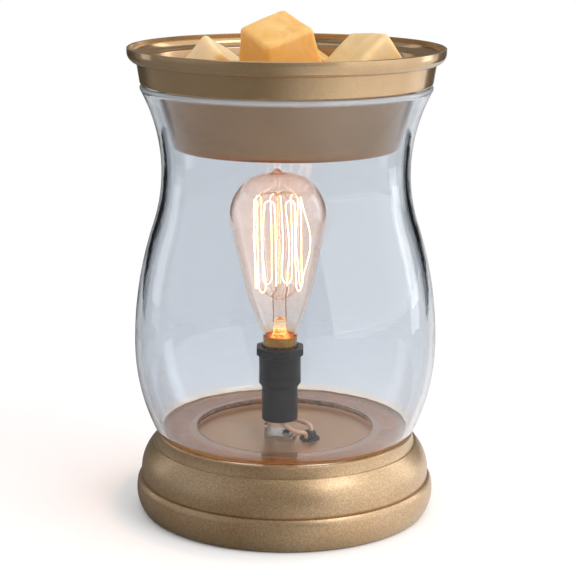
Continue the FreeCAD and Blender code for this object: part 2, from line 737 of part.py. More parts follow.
# ---------------------------------------------------------------------------------- socket
def make_socket_body():
    """Moulded phenolic: a skirt, a wider barrel and an eight-sided collar, with a partition
    across the inside that carries the contacts."""
    body = turned("socket_body", [
        at("skirt_bore", "0"),
        at("skirt_radius", "0", round="0.4"),
        at("skirt_radius", "skirt_height"),
        at("barrel_radius", "barrel_foot"),
        at("barrel_radius", "socket_height"),
        at("barrel_bore + collar_bevel", "socket_height"),
        at("barrel_bore", "socket_height - collar_bevel"),
        at("barrel_bore", "partition_top"),
        at("0", "partition_top"),
        at("0", "partition_foot"),
        at("skirt_bore", "partition_foot"),
    ], height=SOCKET_FOOT, **AT_SOCKET)
    sketch = sketch_on(body, "collar_outline", "XY_Plane", "socket_height - collar_height")
    draw(sketch, polygon(8, "collar_flats"))
    draw_circle(sketch, "(barrel_radius + barrel_bore + collar_bevel) / 2")
    extrude(body, sketch, "collar_height", "collar")
    collar_foot = "(socket_height - collar_height)"
    corner = f"(collar_flats / 2 / cos({180 / 8}))"
    revolve(body, [
        at(f"{corner} - collar_chamfer", f"{collar_foot}"),
        at(f"{corner} + 1", f"{collar_foot}"),
        at(f"{corner} + 1", f"{collar_foot} + collar_chamfer + 1"),
    ], "collar_chamfer", "PartDesign::Groove")
    holes = sketch_on(body, "rivet_holes", "XY_Plane")
    draw_circle(holes, "rivet_radius + screw_gap / 2")
    draw_circle(holes, "rivet_radius + screw_gap / 2", up="neutral_rivet_y")
    cut_through(body, holes, "rivet_cut", towards_normal=True)
    pocket_foot = "partition_top - rivet_head_height - screw_gap * 2"
    pockets = sketch_on(body, "bracket_rivet_hole", "XY_Plane", pocket_foot)
    rivet_x = "bracket_rivet_x * cos(bracket_turn)"
    rivet_y = "bracket_rivet_x * sin(bracket_turn)"
    draw_circle(pockets, "rivet_head_radius + screw_gap", rivet_x, rivet_y)
    cut_through(body, pockets, "bracket_rivet_recess", towards_normal=True)
    shank = draw_circle(sketch_on(body, "bracket_rivet_shank", "XY_Plane"),
                        "rivet_radius + screw_gap / 2", rivet_x, rivet_y)
    cut_through(body, shank, "bracket_rivet_cut", towards_normal=True)
    return body


def make_screw_shell():
    """Thin brass shell that the bulb's cap screws into."""
    outer = "(shell_bore + brass_sheet)"
    body = turned("socket_screw_shell", [
        at("screw_shell_hole", "0"),
        at(outer, "0"),
        at(outer, "screw_shell_height"),
        at("shell_bore", "screw_shell_height"),
        at("shell_bore", "brass_sheet"),
        at("screw_shell_hole", "brass_sheet"),
    ], height=f"{SOCKET_FOOT} + partition_top", **AT_SOCKET)
    hole = draw_circle(sketch_on(body, "rivet_hole", "XY_Plane"), "rivet_radius + screw_gap / 2",
                       up="neutral_rivet_y")
    cut_through(body, hole, "rivet_cut", towards_normal=True)
    return body


def make_centre_contact():
    """Springy brass tongue, folded back over its rivet to meet the bulb."""
    body = new_body("socket_centre_contact", height=f"{SOCKET_FOOT} + partition_top", **AT_SOCKET)
    sheet_up = "brass_sheet"
    sketch = draw(sketch_on(body, "strip", "XZ_Plane"), [
        at("-contact_reach", "0"),
        at("contact_reach", "0"),
        at("contact_reach + brass_sheet", f"{sheet_up} * 2.4"),
        at("0", "contact_rise"),
        at("-contact_reach * 0.7", f"contact_rise - {sheet_up}"),
        at("-contact_reach * 0.7", f"contact_rise - {sheet_up} * 2"),
        at("0", f"contact_rise - {sheet_up}"),
        at("contact_reach", f"{sheet_up} * 2"),
        at("contact_reach - brass_sheet", sheet_up),
        at("-contact_reach", sheet_up),
    ])
    extrude(body, sketch, "contact_width", both_ways=True)
    hole = draw_circle(sketch_on(body, "rivet_hole", "XY_Plane"), "rivet_radius + screw_gap / 2")
    pocket = cut_through(body, hole, "rivet_cut", towards_normal=True)
    pocket.Type = "Length"
    tie(pocket, "Length", "brass_sheet * 1.5")
    return body


def make_terminal(name, rivet_y, reach, turn):
    """Brass tab riveted under the partition and bent down to its lead."""
    body = new_body(name, across="socket_x", depth=f"socket_y + {rivet_y}",
                    height=f"{SOCKET_FOOT} + partition_foot", turn=turn)
    sketch = draw(sketch_on(body, "strip", "XZ_Plane"), [
        at("-rivet_head_radius", "-terminal_sheet"),
        at(f"{reach} - terminal_sheet", "-terminal_sheet"),
        at(f"{reach} - terminal_sheet", "-terminal_drop"),
        at(reach, "-terminal_drop"),
        at(reach, "0"),
        at("-rivet_head_radius", "0"),
    ])
    extrude(body, sketch, "terminal_width", both_ways=True)
    hole = draw_circle(sketch_on(body, "rivet_hole", "XY_Plane"), "rivet_radius + screw_gap / 2")
    cut_through(body, hole, "rivet_cut")
    return body


def make_rivets():
    """Three rivets through the partition: live, neutral and the bracket's."""
    over_brass = "(partition_top + brass_sheet)"
    sunk = "(partition_top - rivet_head_height - screw_gap)"
    under_terminal = "(partition_foot - terminal_sheet)"
    under_bracket = "(partition_foot - bracket_sheet)"
    spots = [
        ("0", "0", over_brass, under_terminal),
        ("0", "neutral_rivet_y", over_brass, under_terminal),
        ("bracket_rivet_x * cos(bracket_turn)", "bracket_rivet_x * sin(bracket_turn)", sunk, under_bracket),
    ]
    rivets = []
    for number, (across, depth, top, foot) in enumerate(spots, start=1):
        rivets.append(turned(f"socket_rivet_{number}", [
            at("0", f"{foot} - rivet_head_height"),
            at("rivet_head_radius", f"{foot} - rivet_head_height"),
            at("rivet_head_radius", foot),
            at("rivet_radius", foot),
            at("rivet_radius", top),
            at("rivet_head_radius", top),
            at("rivet_head_radius", f"{top} + rivet_head_height"),
            at("0", f"{top} + rivet_head_height"),
        ], across=f"socket_x + {across}", depth=f"socket_y + {depth}", height=SOCKET_FOOT))
    return group("socket_rivets", rivets)


# ------------------------------------------------------------------------ bracket and grommet
def make_bracket():
    """Bent steel strip: a foot screwed to the floor, a leg at one side that narrows into the
    socket's skirt and a short flange riveted under the socket's partition."""
    body = new_body("socket_bracket", height=FLOOR, turn="bracket_turn", **AT_SOCKET)
    leg_in = "(bracket_leg_x + bracket_sheet)"
    top = "(socket_clear + partition_foot)"
    foot = draw(sketch_on(body, "foot_outline", "XY_Plane"), [
        at("bracket_leg_x", "-bracket_width / 2"),
        at("bracket_foot_x", "-bracket_width / 2", round="bracket_width / 6"),
        at("bracket_foot_x", "bracket_width / 2", round="bracket_width / 6"),
        at("bracket_leg_x", "bracket_width / 2"),
    ])
    draw_circle(foot, "bracket_screw_radius + screw_gap", "bracket_screw_x")
    extrude(body, foot, "bracket_sheet", "foot")
    leg = draw(sketch_on(body, "leg_outline", "YZ_Plane", "bracket_leg_x"), [
        at("-bracket_width / 2", "0"),
        at("bracket_width / 2", "0"),
        at("bracket_width / 2", "bracket_shoulder", round="bracket_width / 8"),
        at("bracket_tongue_width / 2", "bracket_shoulder"),
        at("bracket_tongue_width / 2", top),
        at("-bracket_tongue_width / 2", top),
        at("-bracket_tongue_width / 2", "bracket_shoulder"),
        at("-bracket_width / 2", "bracket_shoulder", round="bracket_width / 8"),
    ])
    extrude(body, leg, "bracket_sheet", "leg")
    flange = draw(sketch_on(body, "flange_outline", "XZ_Plane"), [
        at(leg_in, f"{top} - bracket_sheet"),
        at("bracket_flange_x", f"{top} - bracket_sheet"),
        at("bracket_flange_x", top),
        at(leg_in, top),
    ])
    extrude(body, flange, "bracket_tongue_width", "flange", both_ways=True)
    hole = sketch_on(body, "rivet_hole", "XY_Plane", f"{top} - bracket_sheet * 2")
    draw_circle(hole, "rivet_radius + screw_gap / 2", "bracket_rivet_x")
    cut_through(body, hole, "rivet_cut", towards_normal=True)
    return body


BRACKET_SCREW = dict(across="socket_x + bracket_screw_x * cos(bracket_turn)",
                     depth="socket_y + bracket_screw_x * sin(bracket_turn)")


def make_bracket_screw():
    return turned("bracket_screw", [
        at("0", "-bracket_screw_length"),
        at("bracket_screw_radius", "-bracket_screw_length"),
        at("bracket_screw_radius", "0"),
        at("bracket_screw_head_radius", "0"),
        at("bracket_screw_head_radius", "bracket_screw_head_height * 0.4",
           swell="bracket_screw_head_radius"),
        at("bracket_screw_head_radius * 0.4", "bracket_screw_head_height"),
        at("0", "bracket_screw_head_height"),
    ], height=f"{FLOOR} + bracket_sheet", **BRACKET_SCREW)


def make_bracket_nut():
    body = new_body("bracket_nut", height=f"{FLOOR} - base_wall - nut_height", **BRACKET_SCREW)
    sketch = draw(sketch_on(body, "outline", "XY_Plane"), polygon(6, "nut_flats"))
    draw_circle(sketch, "bracket_screw_radius + screw_gap / 2")
    extrude(body, sketch, "nut_height")
    return body


def make_grommet():
    """Rubber bush that guards the leads where they pass through the floor. One lead lies in a
    notch beside its dome."""
    body = turned("wire_grommet", [
        at("0", "-base_wall - grommet_tail"),
        at("grommet_flange - 0.4", "-base_wall - grommet_tail"),
        at("grommet_flange", "-base_wall"),
        at("grommet_neck", "-base_wall"),
        at("grommet_neck", "0"),
        at("grommet_flange", "0"),
        at("grommet_flange", "grommet_flange_height", round="grommet_flange_height / 2"),
        at("grommet_dome_foot", "grommet_flange_height"),
        at("grommet_dome_top", "grommet_height", round="0.6"),
        at("0", "grommet_height"),
    ], across="grommet_x", depth="grommet_y", height=FLOOR)
    bores = sketch_on(body, "bores", "XY_Plane", "-base_wall * 3")
    for lead in ("live", "neutral"):
        draw_circle(bores, "lead_radius + screw_gap * 2", f"{lead}_lead_x - grommet_x",
                    f"{lead}_lead_y - grommet_y")
    cut_through(body, bores, "bore_cut", towards_normal=True)
    return body


# ------------------------------------------------------------------------- leads and connectors
LYING = f"({COVER_TOP} + connector_radius + wax_gap)"


def make_lead(core, tab_x, tab_y):
    """An insulated lead from its terminal, through the grommet, to its crimp connector."""
    tab = f"socket_x + {tab_x}", f"socket_y + {tab_y}"
    hole = f"{core}_lead_x", f"{core}_lead_y"
    connector = f"{core}_connector_x"
    route = [
        (*tab, f"{SOCKET_FOOT} + partition_foot - terminal_drop"),
        (*tab, f"{FLOOR} + {core}_leave_rise"),
        (f"{core}_bend_x", f"{core}_bend_y", f"{FLOOR} + {core}_bend_rise"),
        (*hole, f"{FLOOR} + {core}_lead_rise"),
        (*hole, f"{FLOOR} - lead_drop"),
        (f"{core}_back_x", f"{core}_back_y", f"{LYING} + lead_back_rise"),
        (connector, "connector_y - lead_straight", LYING),
        (connector, "connector_y", LYING),
    ]
    points = [[value(text) for text in spot] for spot in route]
    return solid_of(f"lead_{core}", round_wire(bent_path(points), value("lead_radius")))


def make_connectors():
    """Closed-end crimp connectors lying on the cover, where the cord's cores would join."""
    connectors = [turned(f"connector_{number}", [
        at("0", "0"),
        at("connector_radius * 0.8", "0"),
        at("connector_radius", "connector_length * 0.12"),
        at("connector_radius", "connector_length * 0.55"),
        at("connector_radius * 0.75", "connector_length * 0.62"),
        at("connector_radius * 0.75", "connector_length", round="connector_radius * 0.3"),
        at("0", "connector_length"),
    ], across=f"{core}_connector_x", depth="connector_y", height=LYING, axis=Vector(1, 0, 0), turn="-90")
        for number, core in enumerate(("live", "neutral"), start=1)]
    return group("wire_connectors", connectors)


# ------------------------------------------------------------------------------------- bulb
def make_bulb_cap():
    """Thin brass cap: a screw part below and a plain skirt that holds the glass."""
    return turned("bulb_cap", [
        at("cap_glass_radius - cap_sheet", "cap_foot"),
        at("cap_glass_radius", "cap_foot"),
        at("cap_radius", "cap_foot + 0.9"),
        at("cap_radius", "cap_thread_top"),
        at("cap_skirt_radius", "cap_skirt_foot"),
        at("cap_skirt_radius", "cap_rim"),
        at("cap_skirt_radius - cap_sheet", "cap_rim"),
        at("cap_skirt_radius - cap_sheet", "cap_skirt_foot"),
        at("cap_radius - cap_sheet", "cap_thread_top"),
        at("cap_radius - cap_sheet", "cap_foot + 0.9"),
    ], height=SOCKET_FOOT, **AT_SOCKET)


def make_cap_glass():
    """Black glass at the foot of the cap, which keeps its centre contact apart."""
    return turned("bulb_cap_insulator", [
        at("0", "cap_glass_foot"),
        at("contact_button_radius + 0.1", "cap_glass_foot"),
        at("cap_glass_radius - cap_sheet - 0.05", "cap_foot - 0.2"),
        at("cap_glass_radius - cap_sheet - 0.05", "cap_foot + 0.9"),
        at("0", "cap_foot + 0.9"),
    ], height=SOCKET_FOOT, **AT_SOCKET)


def make_contact_button():
    return turned("bulb_contact", [
        at("0", "-contact_button_height"),
        at("contact_button_radius * 0.4", "-contact_button_height", swell="contact_button_radius * 1.2"),
        at("contact_button_radius", "0"),
        at("0", "0"),
    ], height=f"{SOCKET_FOOT} + cap_glass_foot", **AT_SOCKET)


IN_CAP = dict(height=BULB_RIM, axis=Vector(0, 1, 0), turn="bulb_lean", **AT_SOCKET)
BULB_CENTRE = "(bulb_height - bulb_crown)"
UPPER_HUB = f"({BULB_CENTRE} + hub_over_centre)"
STRAND_TOP = f"({BULB_CENTRE} + strand_over_centre)"


def make_envelope():
    """Blown pear-shaped envelope: a long tapered neck, a round crown and the sealed-off tip.
    Heights count from the cap's rim."""
    cone_foot = (f"(bulb_radius * cos(bulb_taper) - ({BULB_CENTRE} - bulb_radius * sin(bulb_taper)"
                 " - bulb_cone_foot) * tan(bulb_taper))")
    neck_lean = f"(2 * atan(({cone_foot} - bulb_neck_radius) / bulb_cone_foot) - bulb_taper * 1 deg)"
    neck_bow = f"(bulb_cone_foot / (sin({neck_lean}) - sin(bulb_taper)))"
    tip_foot = "bulb_height - tip_drop"
    tip_bow = "(tip_cap / 2 + tip_radius * tip_radius / tip_cap / 2)"

    def neck(inset):
        return f"bulb_neck_radius - {inset} * cos({neck_lean})", f"{inset} * sin({neck_lean})"

    def cone(inset):
        return f"{cone_foot} - {inset} * cos(bulb_taper)", f"bulb_cone_foot + {inset} * sin(bulb_taper)"

    def shoulder(inset):
        reach = f"(bulb_radius - {inset})"
        return f"{reach} * cos(bulb_taper)", f"{BULB_CENTRE} - {reach} * sin(bulb_taper)"

    def crown(inset):
        share = "(crown_radius / bulb_radius)"
        reach = f"(bulb_radius - {inset})"
        return f"{reach} * {share}", f"{BULB_CENTRE} + {reach} * sqrt(1 - {share} * {share})"

    return turned("bulb_envelope", [
        at("bulb_neck_radius - bulb_wall", "-bulb_neck_depth"),
        at("bulb_neck_radius", "-bulb_neck_depth"),
        at("bulb_neck_radius", "0", swell=neck_bow),
        at(*cone("0")),
        at(*shoulder("0"), swell="bulb_radius"),
        at(*crown("0"), swell="crown_bow"),
        at("tip_foot_radius", tip_foot, hollow="tip_foot_radius"),
        at("tip_radius", "bulb_height - tip_cap", swell=tip_bow),
        at("0", "bulb_height"),
        at("0", f"{tip_foot} - bulb_wall * 0.8"),
        at("tip_foot_radius", f"{tip_foot} - bulb_wall", hollow="crown_bow - bulb_wall"),
        at(*crown("bulb_wall"), hollow="bulb_radius - bulb_wall"),
        at(*shoulder("bulb_wall")),
        at(*cone("bulb_wall"), hollow=f"{neck_bow} - bulb_wall"),
        at(*neck("bulb_wall")),
    ], **IN_CAP)


def make_stem():
    """Glass mount: a flare sealed into the neck, a flat press and a rod with two hubs."""
    flare = "(bulb_neck_radius - bulb_wall - 0.1)"
    body = turned("bulb_stem", [
        at("0", "-bulb_neck_depth"),
        at(flare, "-bulb_neck_depth"),
        at(flare, "1 - bulb_neck_depth", hollow="stem_rise + bulb_neck_depth"),
        at("stem_radius", "stem_rise"),
        at("stem_radius", "press_top", swell="stem_radius * 2"),
        at("rod_radius", "press_top + 1"),
        at("rod_radius", "lower_hub - hub_height"),
        at("hub_radius", "lower_hub - hub_height / 2", swell="hub_height * 2"),
        at("hub_radius", "lower_hub + hub_height / 2"),
        at("rod_radius", "lower_hub + hub_height"),
        at("rod_radius", f"{UPPER_HUB} - hub_height"),
        at("hub_radius", f"{UPPER_HUB} - hub_height / 2", swell="hub_height * 2"),
        at("hub_radius", f"{UPPER_HUB} + hub_height / 2"),
        at("rod_radius", f"{UPPER_HUB} + hub_height"),
        at("0", f"{UPPER_HUB} + hub_height"),
    ], **IN_CAP)
    press = draw(sketch_on(body, "press_outline", "XZ_Plane"), [
        at("-press_width / 2", "stem_rise - 2", round="0.6"),
        at("press_width / 2", "stem_rise - 2", round="0.6"),
        at("press_width / 2", "press_top", round="0.6"),
        at("-press_width / 2", "press_top", round="0.6"),
    ])
    extrude(body, press, "press_depth", "press", both_ways=True)
    return body


def cage_spot(step, height):
    """A strand's place round the cage. The first and last stand either side of the front."""
    angle = math.radians(-90 + 360 * (step + 0.5) / STRANDS)
    reach = value("cage_radius")
    return Vector(reach * math.cos(angle), reach * math.sin(angle), height)


def in_bulb(feature):
    spot = Vector(value("socket_x"), value("socket_y"), value(BULB_RIM))
    feature.Placement = FreeCAD.Placement(spot, FreeCAD.Rotation(Vector(0, 1, 0), value("bulb_lean")))
    return feature


def make_filament():
    """One fine wire up and down the cage, looped over the supports."""
    foot, top = value("strand_foot"), value(STRAND_TOP)
    edges = []
    for step in range(STRANDS):
        low, high = cage_spot(step, foot), cage_spot(step, top)
        rising = step % 2 == 0
        edges.append(Part.LineSegment(*((low, high) if rising else (high, low))).toShape())
        if step < STRANDS - 1:
            level = top if rising else foot
            here, there = cage_spot(step, level), cage_spot(step + 1, level)
            bulge = (there - here).Length / 2 * (1 if rising else -1)
            middle = (here + there) * 0.5 + Vector(0, 0, bulge)
            edges.append(Part.Arc(here, middle, there).toShape())
    return in_bulb(solid_of("bulb_filament", round_wire(Part.Wire(edges), value("filament_radius"))))


def make_supports():
    """Molybdenum wires from the rod's hubs to the loops that they hold."""
    spacing = (cage_spot(1, 0) - cage_spot(0, 0)).Length / 2
    clear = value("filament_radius + support_radius") + 0.15
    wires = []
    for step in range(STRANDS - 1):
        above = step % 2 == 0
        level = value(STRAND_TOP if above else "strand_foot")
        loop = (cage_spot(step, level) + cage_spot(step + 1, level)) * 0.5
        loop.z += (spacing - clear) * (1 if above else -1)
        outward = Vector(loop.x, loop.y, 0).normalize()
        start = outward * (value("hub_radius") + 0.15)
        start.z = value(UPPER_HUB if above else "lower_hub")
        end = loop + outward * 0.5
        wires.append(Part.makeCylinder(value("support_radius"), (end - start).Length, start, end - start))
    return in_bulb(solid_of("bulb_supports", Part.makeCompound(wires)))


def make_inner_leads():
    """Two stiff wires from the press to the filament's two ends."""
    wires = []
    for side, step in ((1, 0), (-1, STRANDS - 1)):
        x = side * value("inner_lead_x")
        end = cage_spot(step, value("strand_foot"))
        points = [(x, 0, value("press_top")), (x, 0, value("press_top") + 5.0),
                  (x, end.y / 2, end.z - 4.0), (end.x, end.y, end.z - 2.0), (end.x, end.y, end.z)]
        wires.append(round_wire(bent_path(points), value("inner_lead_radius")))
    return in_bulb(solid_of("bulb_inner_leads", Part.makeCompound(wires)))


# -------------------------------------------------------------------------------- assembly
pieces = [
    make_base_shell(), make_cover(), make_posts(), make_cover_screws(), make_feet(), make_cord_inlet(),
    make_glass(), make_glass_seal(), make_dish(), make_wax_bed(),
    make_socket_body(), make_screw_shell(), make_centre_contact(),
    make_terminal("terminal_live", "0", "live_reach", "-90"),
    make_terminal("terminal_neutral", "neutral_rivet_y", "neutral_reach", "0"),
    make_rivets(), make_bracket(), make_bracket_screw(), make_bracket_nut(), make_grommet(),
    make_lead("live", "0", "terminal_sheet / 2 - live_reach"),
    make_lead("neutral", "neutral_reach - terminal_sheet / 2", "neutral_rivet_y"),
    make_connectors(),
    make_bulb_cap(), make_cap_glass(), make_contact_button(), make_envelope(), make_stem(),
    make_filament(), make_supports(), make_inner_leads(),
]
pieces += [make_melt(name, *where) for name, where in MELTS.items()]
doc.recompute()

failed = [item.Name for item in doc.Objects if {"Invalid", "Error"} & set(item.State)]
if failed:
    raise RuntimeError(f"failed objects: {failed}")
for piece in pieces:
    if piece.Shape.isNull() or not piece.Shape.isValid() or not piece.Shape.Solids:
        raise RuntimeError(f"bad shape: {piece.Label}")

os.makedirs("parts", exist_ok=True)
for piece in pieces:
    piece.Shape.exportStep(f"parts/{piece.Label}.step")
print(f"{len(pieces)} pieces written")
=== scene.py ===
"""Candle warmer lamp, dressed for its picture: champagne base, clear waisted glass, pressed dish
with wax, and a lit filament bulb in its small socket.

Outlines are in millimetres from the axis and the table, like the drawing they follow.
"""
import math
import bmesh
import bpy
import numpy as np
from mathutils import Matrix, Vector, noise


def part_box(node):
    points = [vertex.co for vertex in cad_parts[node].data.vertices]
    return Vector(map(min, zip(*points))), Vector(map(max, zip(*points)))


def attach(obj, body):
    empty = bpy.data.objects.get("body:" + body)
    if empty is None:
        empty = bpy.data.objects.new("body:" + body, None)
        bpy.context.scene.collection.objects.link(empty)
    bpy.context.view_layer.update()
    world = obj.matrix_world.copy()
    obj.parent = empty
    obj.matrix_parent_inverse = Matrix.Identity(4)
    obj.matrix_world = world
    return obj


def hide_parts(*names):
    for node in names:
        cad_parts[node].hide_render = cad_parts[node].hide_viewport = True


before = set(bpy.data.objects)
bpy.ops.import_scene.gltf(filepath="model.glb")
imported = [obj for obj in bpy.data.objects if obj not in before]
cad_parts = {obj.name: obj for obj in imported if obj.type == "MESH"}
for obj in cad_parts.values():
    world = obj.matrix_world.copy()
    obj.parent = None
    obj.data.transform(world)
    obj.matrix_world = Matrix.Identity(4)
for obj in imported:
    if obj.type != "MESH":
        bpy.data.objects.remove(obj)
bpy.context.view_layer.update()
MM = 0.001

# ============================================================================== base shell
# The base is one drawn steel shell: plinth, dome and neck. It is sprayed with a fine-grained
# champagne lacquer, worn a little brighter on its edges.


def srgb(code):
    """Linear colour of a hex code."""
    channels = [int(code[place:place + 2], 16) / 255 for place in (1, 3, 5)]
    return (*[c / 12.92 if c <= 0.04045 else ((c + 0.055) / 1.055) ** 2.4 for c in channels], 1.0)


def add(tree, kind, wires=None, stops=None, **settings):
    """One node with its settings. A wire is a value, or the output that feeds the socket."""
    node = tree.nodes.new(kind)
    for name, setting in settings.items():
        setattr(node, name, setting)
    for socket, feed in (wires or {}).items():
        if isinstance(feed, bpy.types.NodeSocket):
            tree.links.new(feed, node.inputs[socket])
        else:
            node.inputs[socket].default_value = feed
    if stops:
        ramp = node.color_ramp.elements
        while len(ramp) < len(stops):
            ramp.new(1.0)
        for element, (position, code) in zip(ramp, stops):
            element.position = position
            element.color = srgb(code)
    return node


def scaled(tree, feed, painted_warm_share=0.0, high=1.0, start=0.0, end=1.0, **settings):
    """A number carried over from low..high to start..end."""
    spans = {0: feed, 1: painted_warm_share, 2: high, 3: start, 4: end}
    return add(tree, "ShaderNodeMapRange", spans, **settings).outputs[0]


def combined(tree, operation, first, second, **settings):
    """Two numbers made into one."""
    return add(tree, "ShaderNodeMath", {0: first, 1: second}, operation=operation, **settings).outputs[0]


def blended(tree, share, under, over, **settings):
    """Two colours mixed, with a share of the second."""
    return add(tree, "ShaderNodeMix", {0: share, 6: under, 7: over}, data_type="RGBA", **settings).outputs[2]


def coloured(tree, feed, stops):
    """A colour picked by a number."""
    return add(tree, "ShaderNodeValToRGB", {"Fac": feed}, stops=stops).outputs["Color"]


def clouds(tree, spots, scale, detail):
    """Noise with that many spots to a millimetre."""
    return add(tree, "ShaderNodeTexNoise", {"Vector": spots, "Scale": scale, "Detail": detail}).outputs["Fac"]


def ridged(tree, shader, height, depth):
    """Gives a shader relief of that depth in millimetres."""
    bump = add(tree, "ShaderNodeBump", {"Height": height, "Distance": depth * MM})
    tree.links.new(bump.outputs["Normal"], shader.inputs["Normal"])


def retinted(tree, shader, share, over, **settings):
    """Mixes a colour over the one that feeds a shader."""
    under = shader.inputs["Base Color"].links[0].from_socket
    tree.links.new(blended(tree, share, under, over, **settings), shader.inputs["Base Color"])


def new_finish(name):
    """A material, its node tree, its surface shader and its own coordinates in millimetres."""
    material = bpy.data.materials.new(name)
    material.use_nodes = True
    tree = material.node_tree
    own = add(tree, "ShaderNodeTexCoord").outputs["Object"]
    spots = add(tree, "ShaderNodeVectorMath", {0: own, 1: (1 / MM,) * 3}, operation="MULTIPLY")
    return material, tree, tree.nodes["Principled BSDF"], spots.outputs[0]


FLAKES = 1.6        # metal flakes to a millimetre


def surface(name, stops, patch=12.0, grain=0.5, rough=(0.3, 0.45), relief=0.02, worn=None, fleck=0.0,
            **shader_values):
    """A surface whose colour varies over patches, with fine grain in its roughness and relief.
    Sizes are in millimetres. worn is the colour of rubbed edges, fleck the strength of metal flake."""
    material, tree, shader, spots = new_finish(name)
    colour = coloured(tree, clouds(tree, spots, 1 / patch, 4.0), stops)
    fine = clouds(tree, spots, 1 / grain, 3.0)
    if fleck:
        shine = scaled(tree, clouds(tree, spots, FLAKES, 1.0), 0.35, 0.65, 1 - fleck, 1 + fleck)
        colour = blended(tree, 1.0, colour, shine, blend_type="MULTIPLY")
    if worn:
        edge = add(tree, "ShaderNodeNewGeometry").outputs["Pointiness"]
        rubbed = combined(tree, "MULTIPLY", scaled(tree, edge, 0.53, 0.62, 0.0, 0.6), fine)
        colour = blended(tree, rubbed, colour, srgb(worn))
    tree.links.new(colour, shader.inputs["Base Color"])
    tree.links.new(scaled(tree, fine, 0.3, 0.7, *rough), shader.inputs["Roughness"])
    if relief:
        ridged(tree, shader, fine, relief)
    for socket, number in shader_values.items():
        shader.inputs[socket.replace("_", " ")].default_value = number
    return material, tree, shader, spots


def dress(node, material):
    """Puts a material on a frame node that stays shown."""
    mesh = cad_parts[node].data
    for place in range(len(mesh.materials)):
        mesh.materials[place] = material
    mesh.shade_smooth()
    mesh.set_sharp_from_angle(angle=math.radians(32))


# satin champagne lacquer with metal flake
CHAMPAGNE = [(0.3, "#b5966e"), (0.7, "#c3a784")]
champagne, base_tree, base_shader, base_spots = surface(
    "champagne_lacquer", CHAMPAGNE, patch=30.0, grain=0.32, rough=(0.3, 0.46), relief=0.012, worn="#e6d3b0",
    fleck=0.16, Metallic=0.8, Coat_Weight=0.5, Coat_Roughness=0.25)
# inside the neck, within these distances of the axis, the lacquer is painted a redder, coppery tone: painted
# warm light of the bulb on the floor
BULB_LIT_FLOOR = (49.0, 53.0)
from_axis = add(base_tree, "ShaderNodeVectorMath", {0: base_spots, 1: (1.0, 1.0, 0.0)}, operation="MULTIPLY")
distance = add(base_tree, "ShaderNodeVectorMath", {0: from_axis.outputs[0]}, operation="LENGTH")
painted_bulb_light = scaled(base_tree, distance.outputs["Value"], *BULB_LIT_FLOOR, 1.0, 0.0)
retinted(base_tree, base_shader, painted_bulb_light, srgb("#c0935f"))
dress("base_shell", champagne)

# ============================================================================ under the base
# A black enamelled plate closes the base, with zinc-plated posts for its screws and a nylon bush
# for the cord. The nut of the socket's bracket is in here too; feet and screws come further on.

# black stoved enamel on steel sheet
enamel = surface("black_enamel", [(0.35, "#161617"), (0.65, "#1f1f21")], patch=18.0, grain=0.4,
                 rough=(0.38, 0.5), relief=0.02)[0]
# bright zinc plate with a cloudy bloom
zinc = surface("zinc_plate", [(0.3, "#8d9196"), (0.7, "#b9bdc1")], patch=3.0, grain=0.25,
               rough=(0.25, 0.4), relief=0.006, Metallic=1.0)[0]
# matt synthetic rubber, dusty
rubber = surface("soft_rubber", [(0.35, "#1b1a1a"), (0.7, "#2a2827")], patch=4.0, grain=0.3,
                 rough=(0.65, 0.8), relief=0.03)[0]
# moulded black nylon
nylon = surface("black_nylon", [(0.35, "#101011"), (0.7, "#1b1b1c")], patch=5.0, grain=0.2,
                rough=(0.35, 0.48), relief=0.01)[0]
dress("base_cover", enamel)
dress("cover_posts", zinc)
dress("cord_inlet", nylon)
dress("bracket_nut", zinc)

# ============================================================================= glass shade
# Blown and fire-polished clear glass: a turned-in foot, a belly, a waist and a melted lip. It
# stands on a ring of clear silicone in the base's recess.
LEVEL = {name: [round(c / MM, 3) for c in (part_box(name)[0].z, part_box(name)[1].z)]
         for name in ("glass_shade", "dish", "wax_bed", "socket_body")}
GLASS_FOOT = LEVEL["glass_shade"][0]


def at(across, up, **bend):
    """A corner of an outline: round= rounds it, swell= or hollow= bends the side that leaves it."""
    return dict(spot=np.array((across, up), float), **bend)


def side(start, stop, bend, swells, step):
    """Points of one side, straight or on an arc."""
    chord = stop - start
    length = float(np.hypot(*chord))
    share = np.linspace(0, 1, max(2, int(length / step) + 2))[:, None]
    if not bend:
        return start + share * chord
    left = np.array((-chord[1], chord[0])) / length
    aside = math.sqrt(max(bend ** 2 - length ** 2 / 4, 0)) * (1 if swells else -1)
    centre = (start + stop) / 2 + left * aside
    first, last = (math.atan2(*(end - centre)[::-1]) for end in (start, stop))
    turn = (last - first + math.pi) % math.tau - math.pi
    angles = first + share[:, 0] * turn
    return centre + bend * np.stack((np.cos(angles), np.sin(angles)), 1)


def shortened(points, cut):
    """The line without its last stretch of that length."""
    lengths = np.hypot(*np.diff(points, axis=0).T)
    along = np.concatenate(([0], np.cumsum(lengths)))
    kept = along[-1] - cut
    inside = points[along < kept - 1e-6]
    end = [np.interp(kept, along, points[:, axis]) for axis in (0, 1)]
    return np.vstack((inside, end))


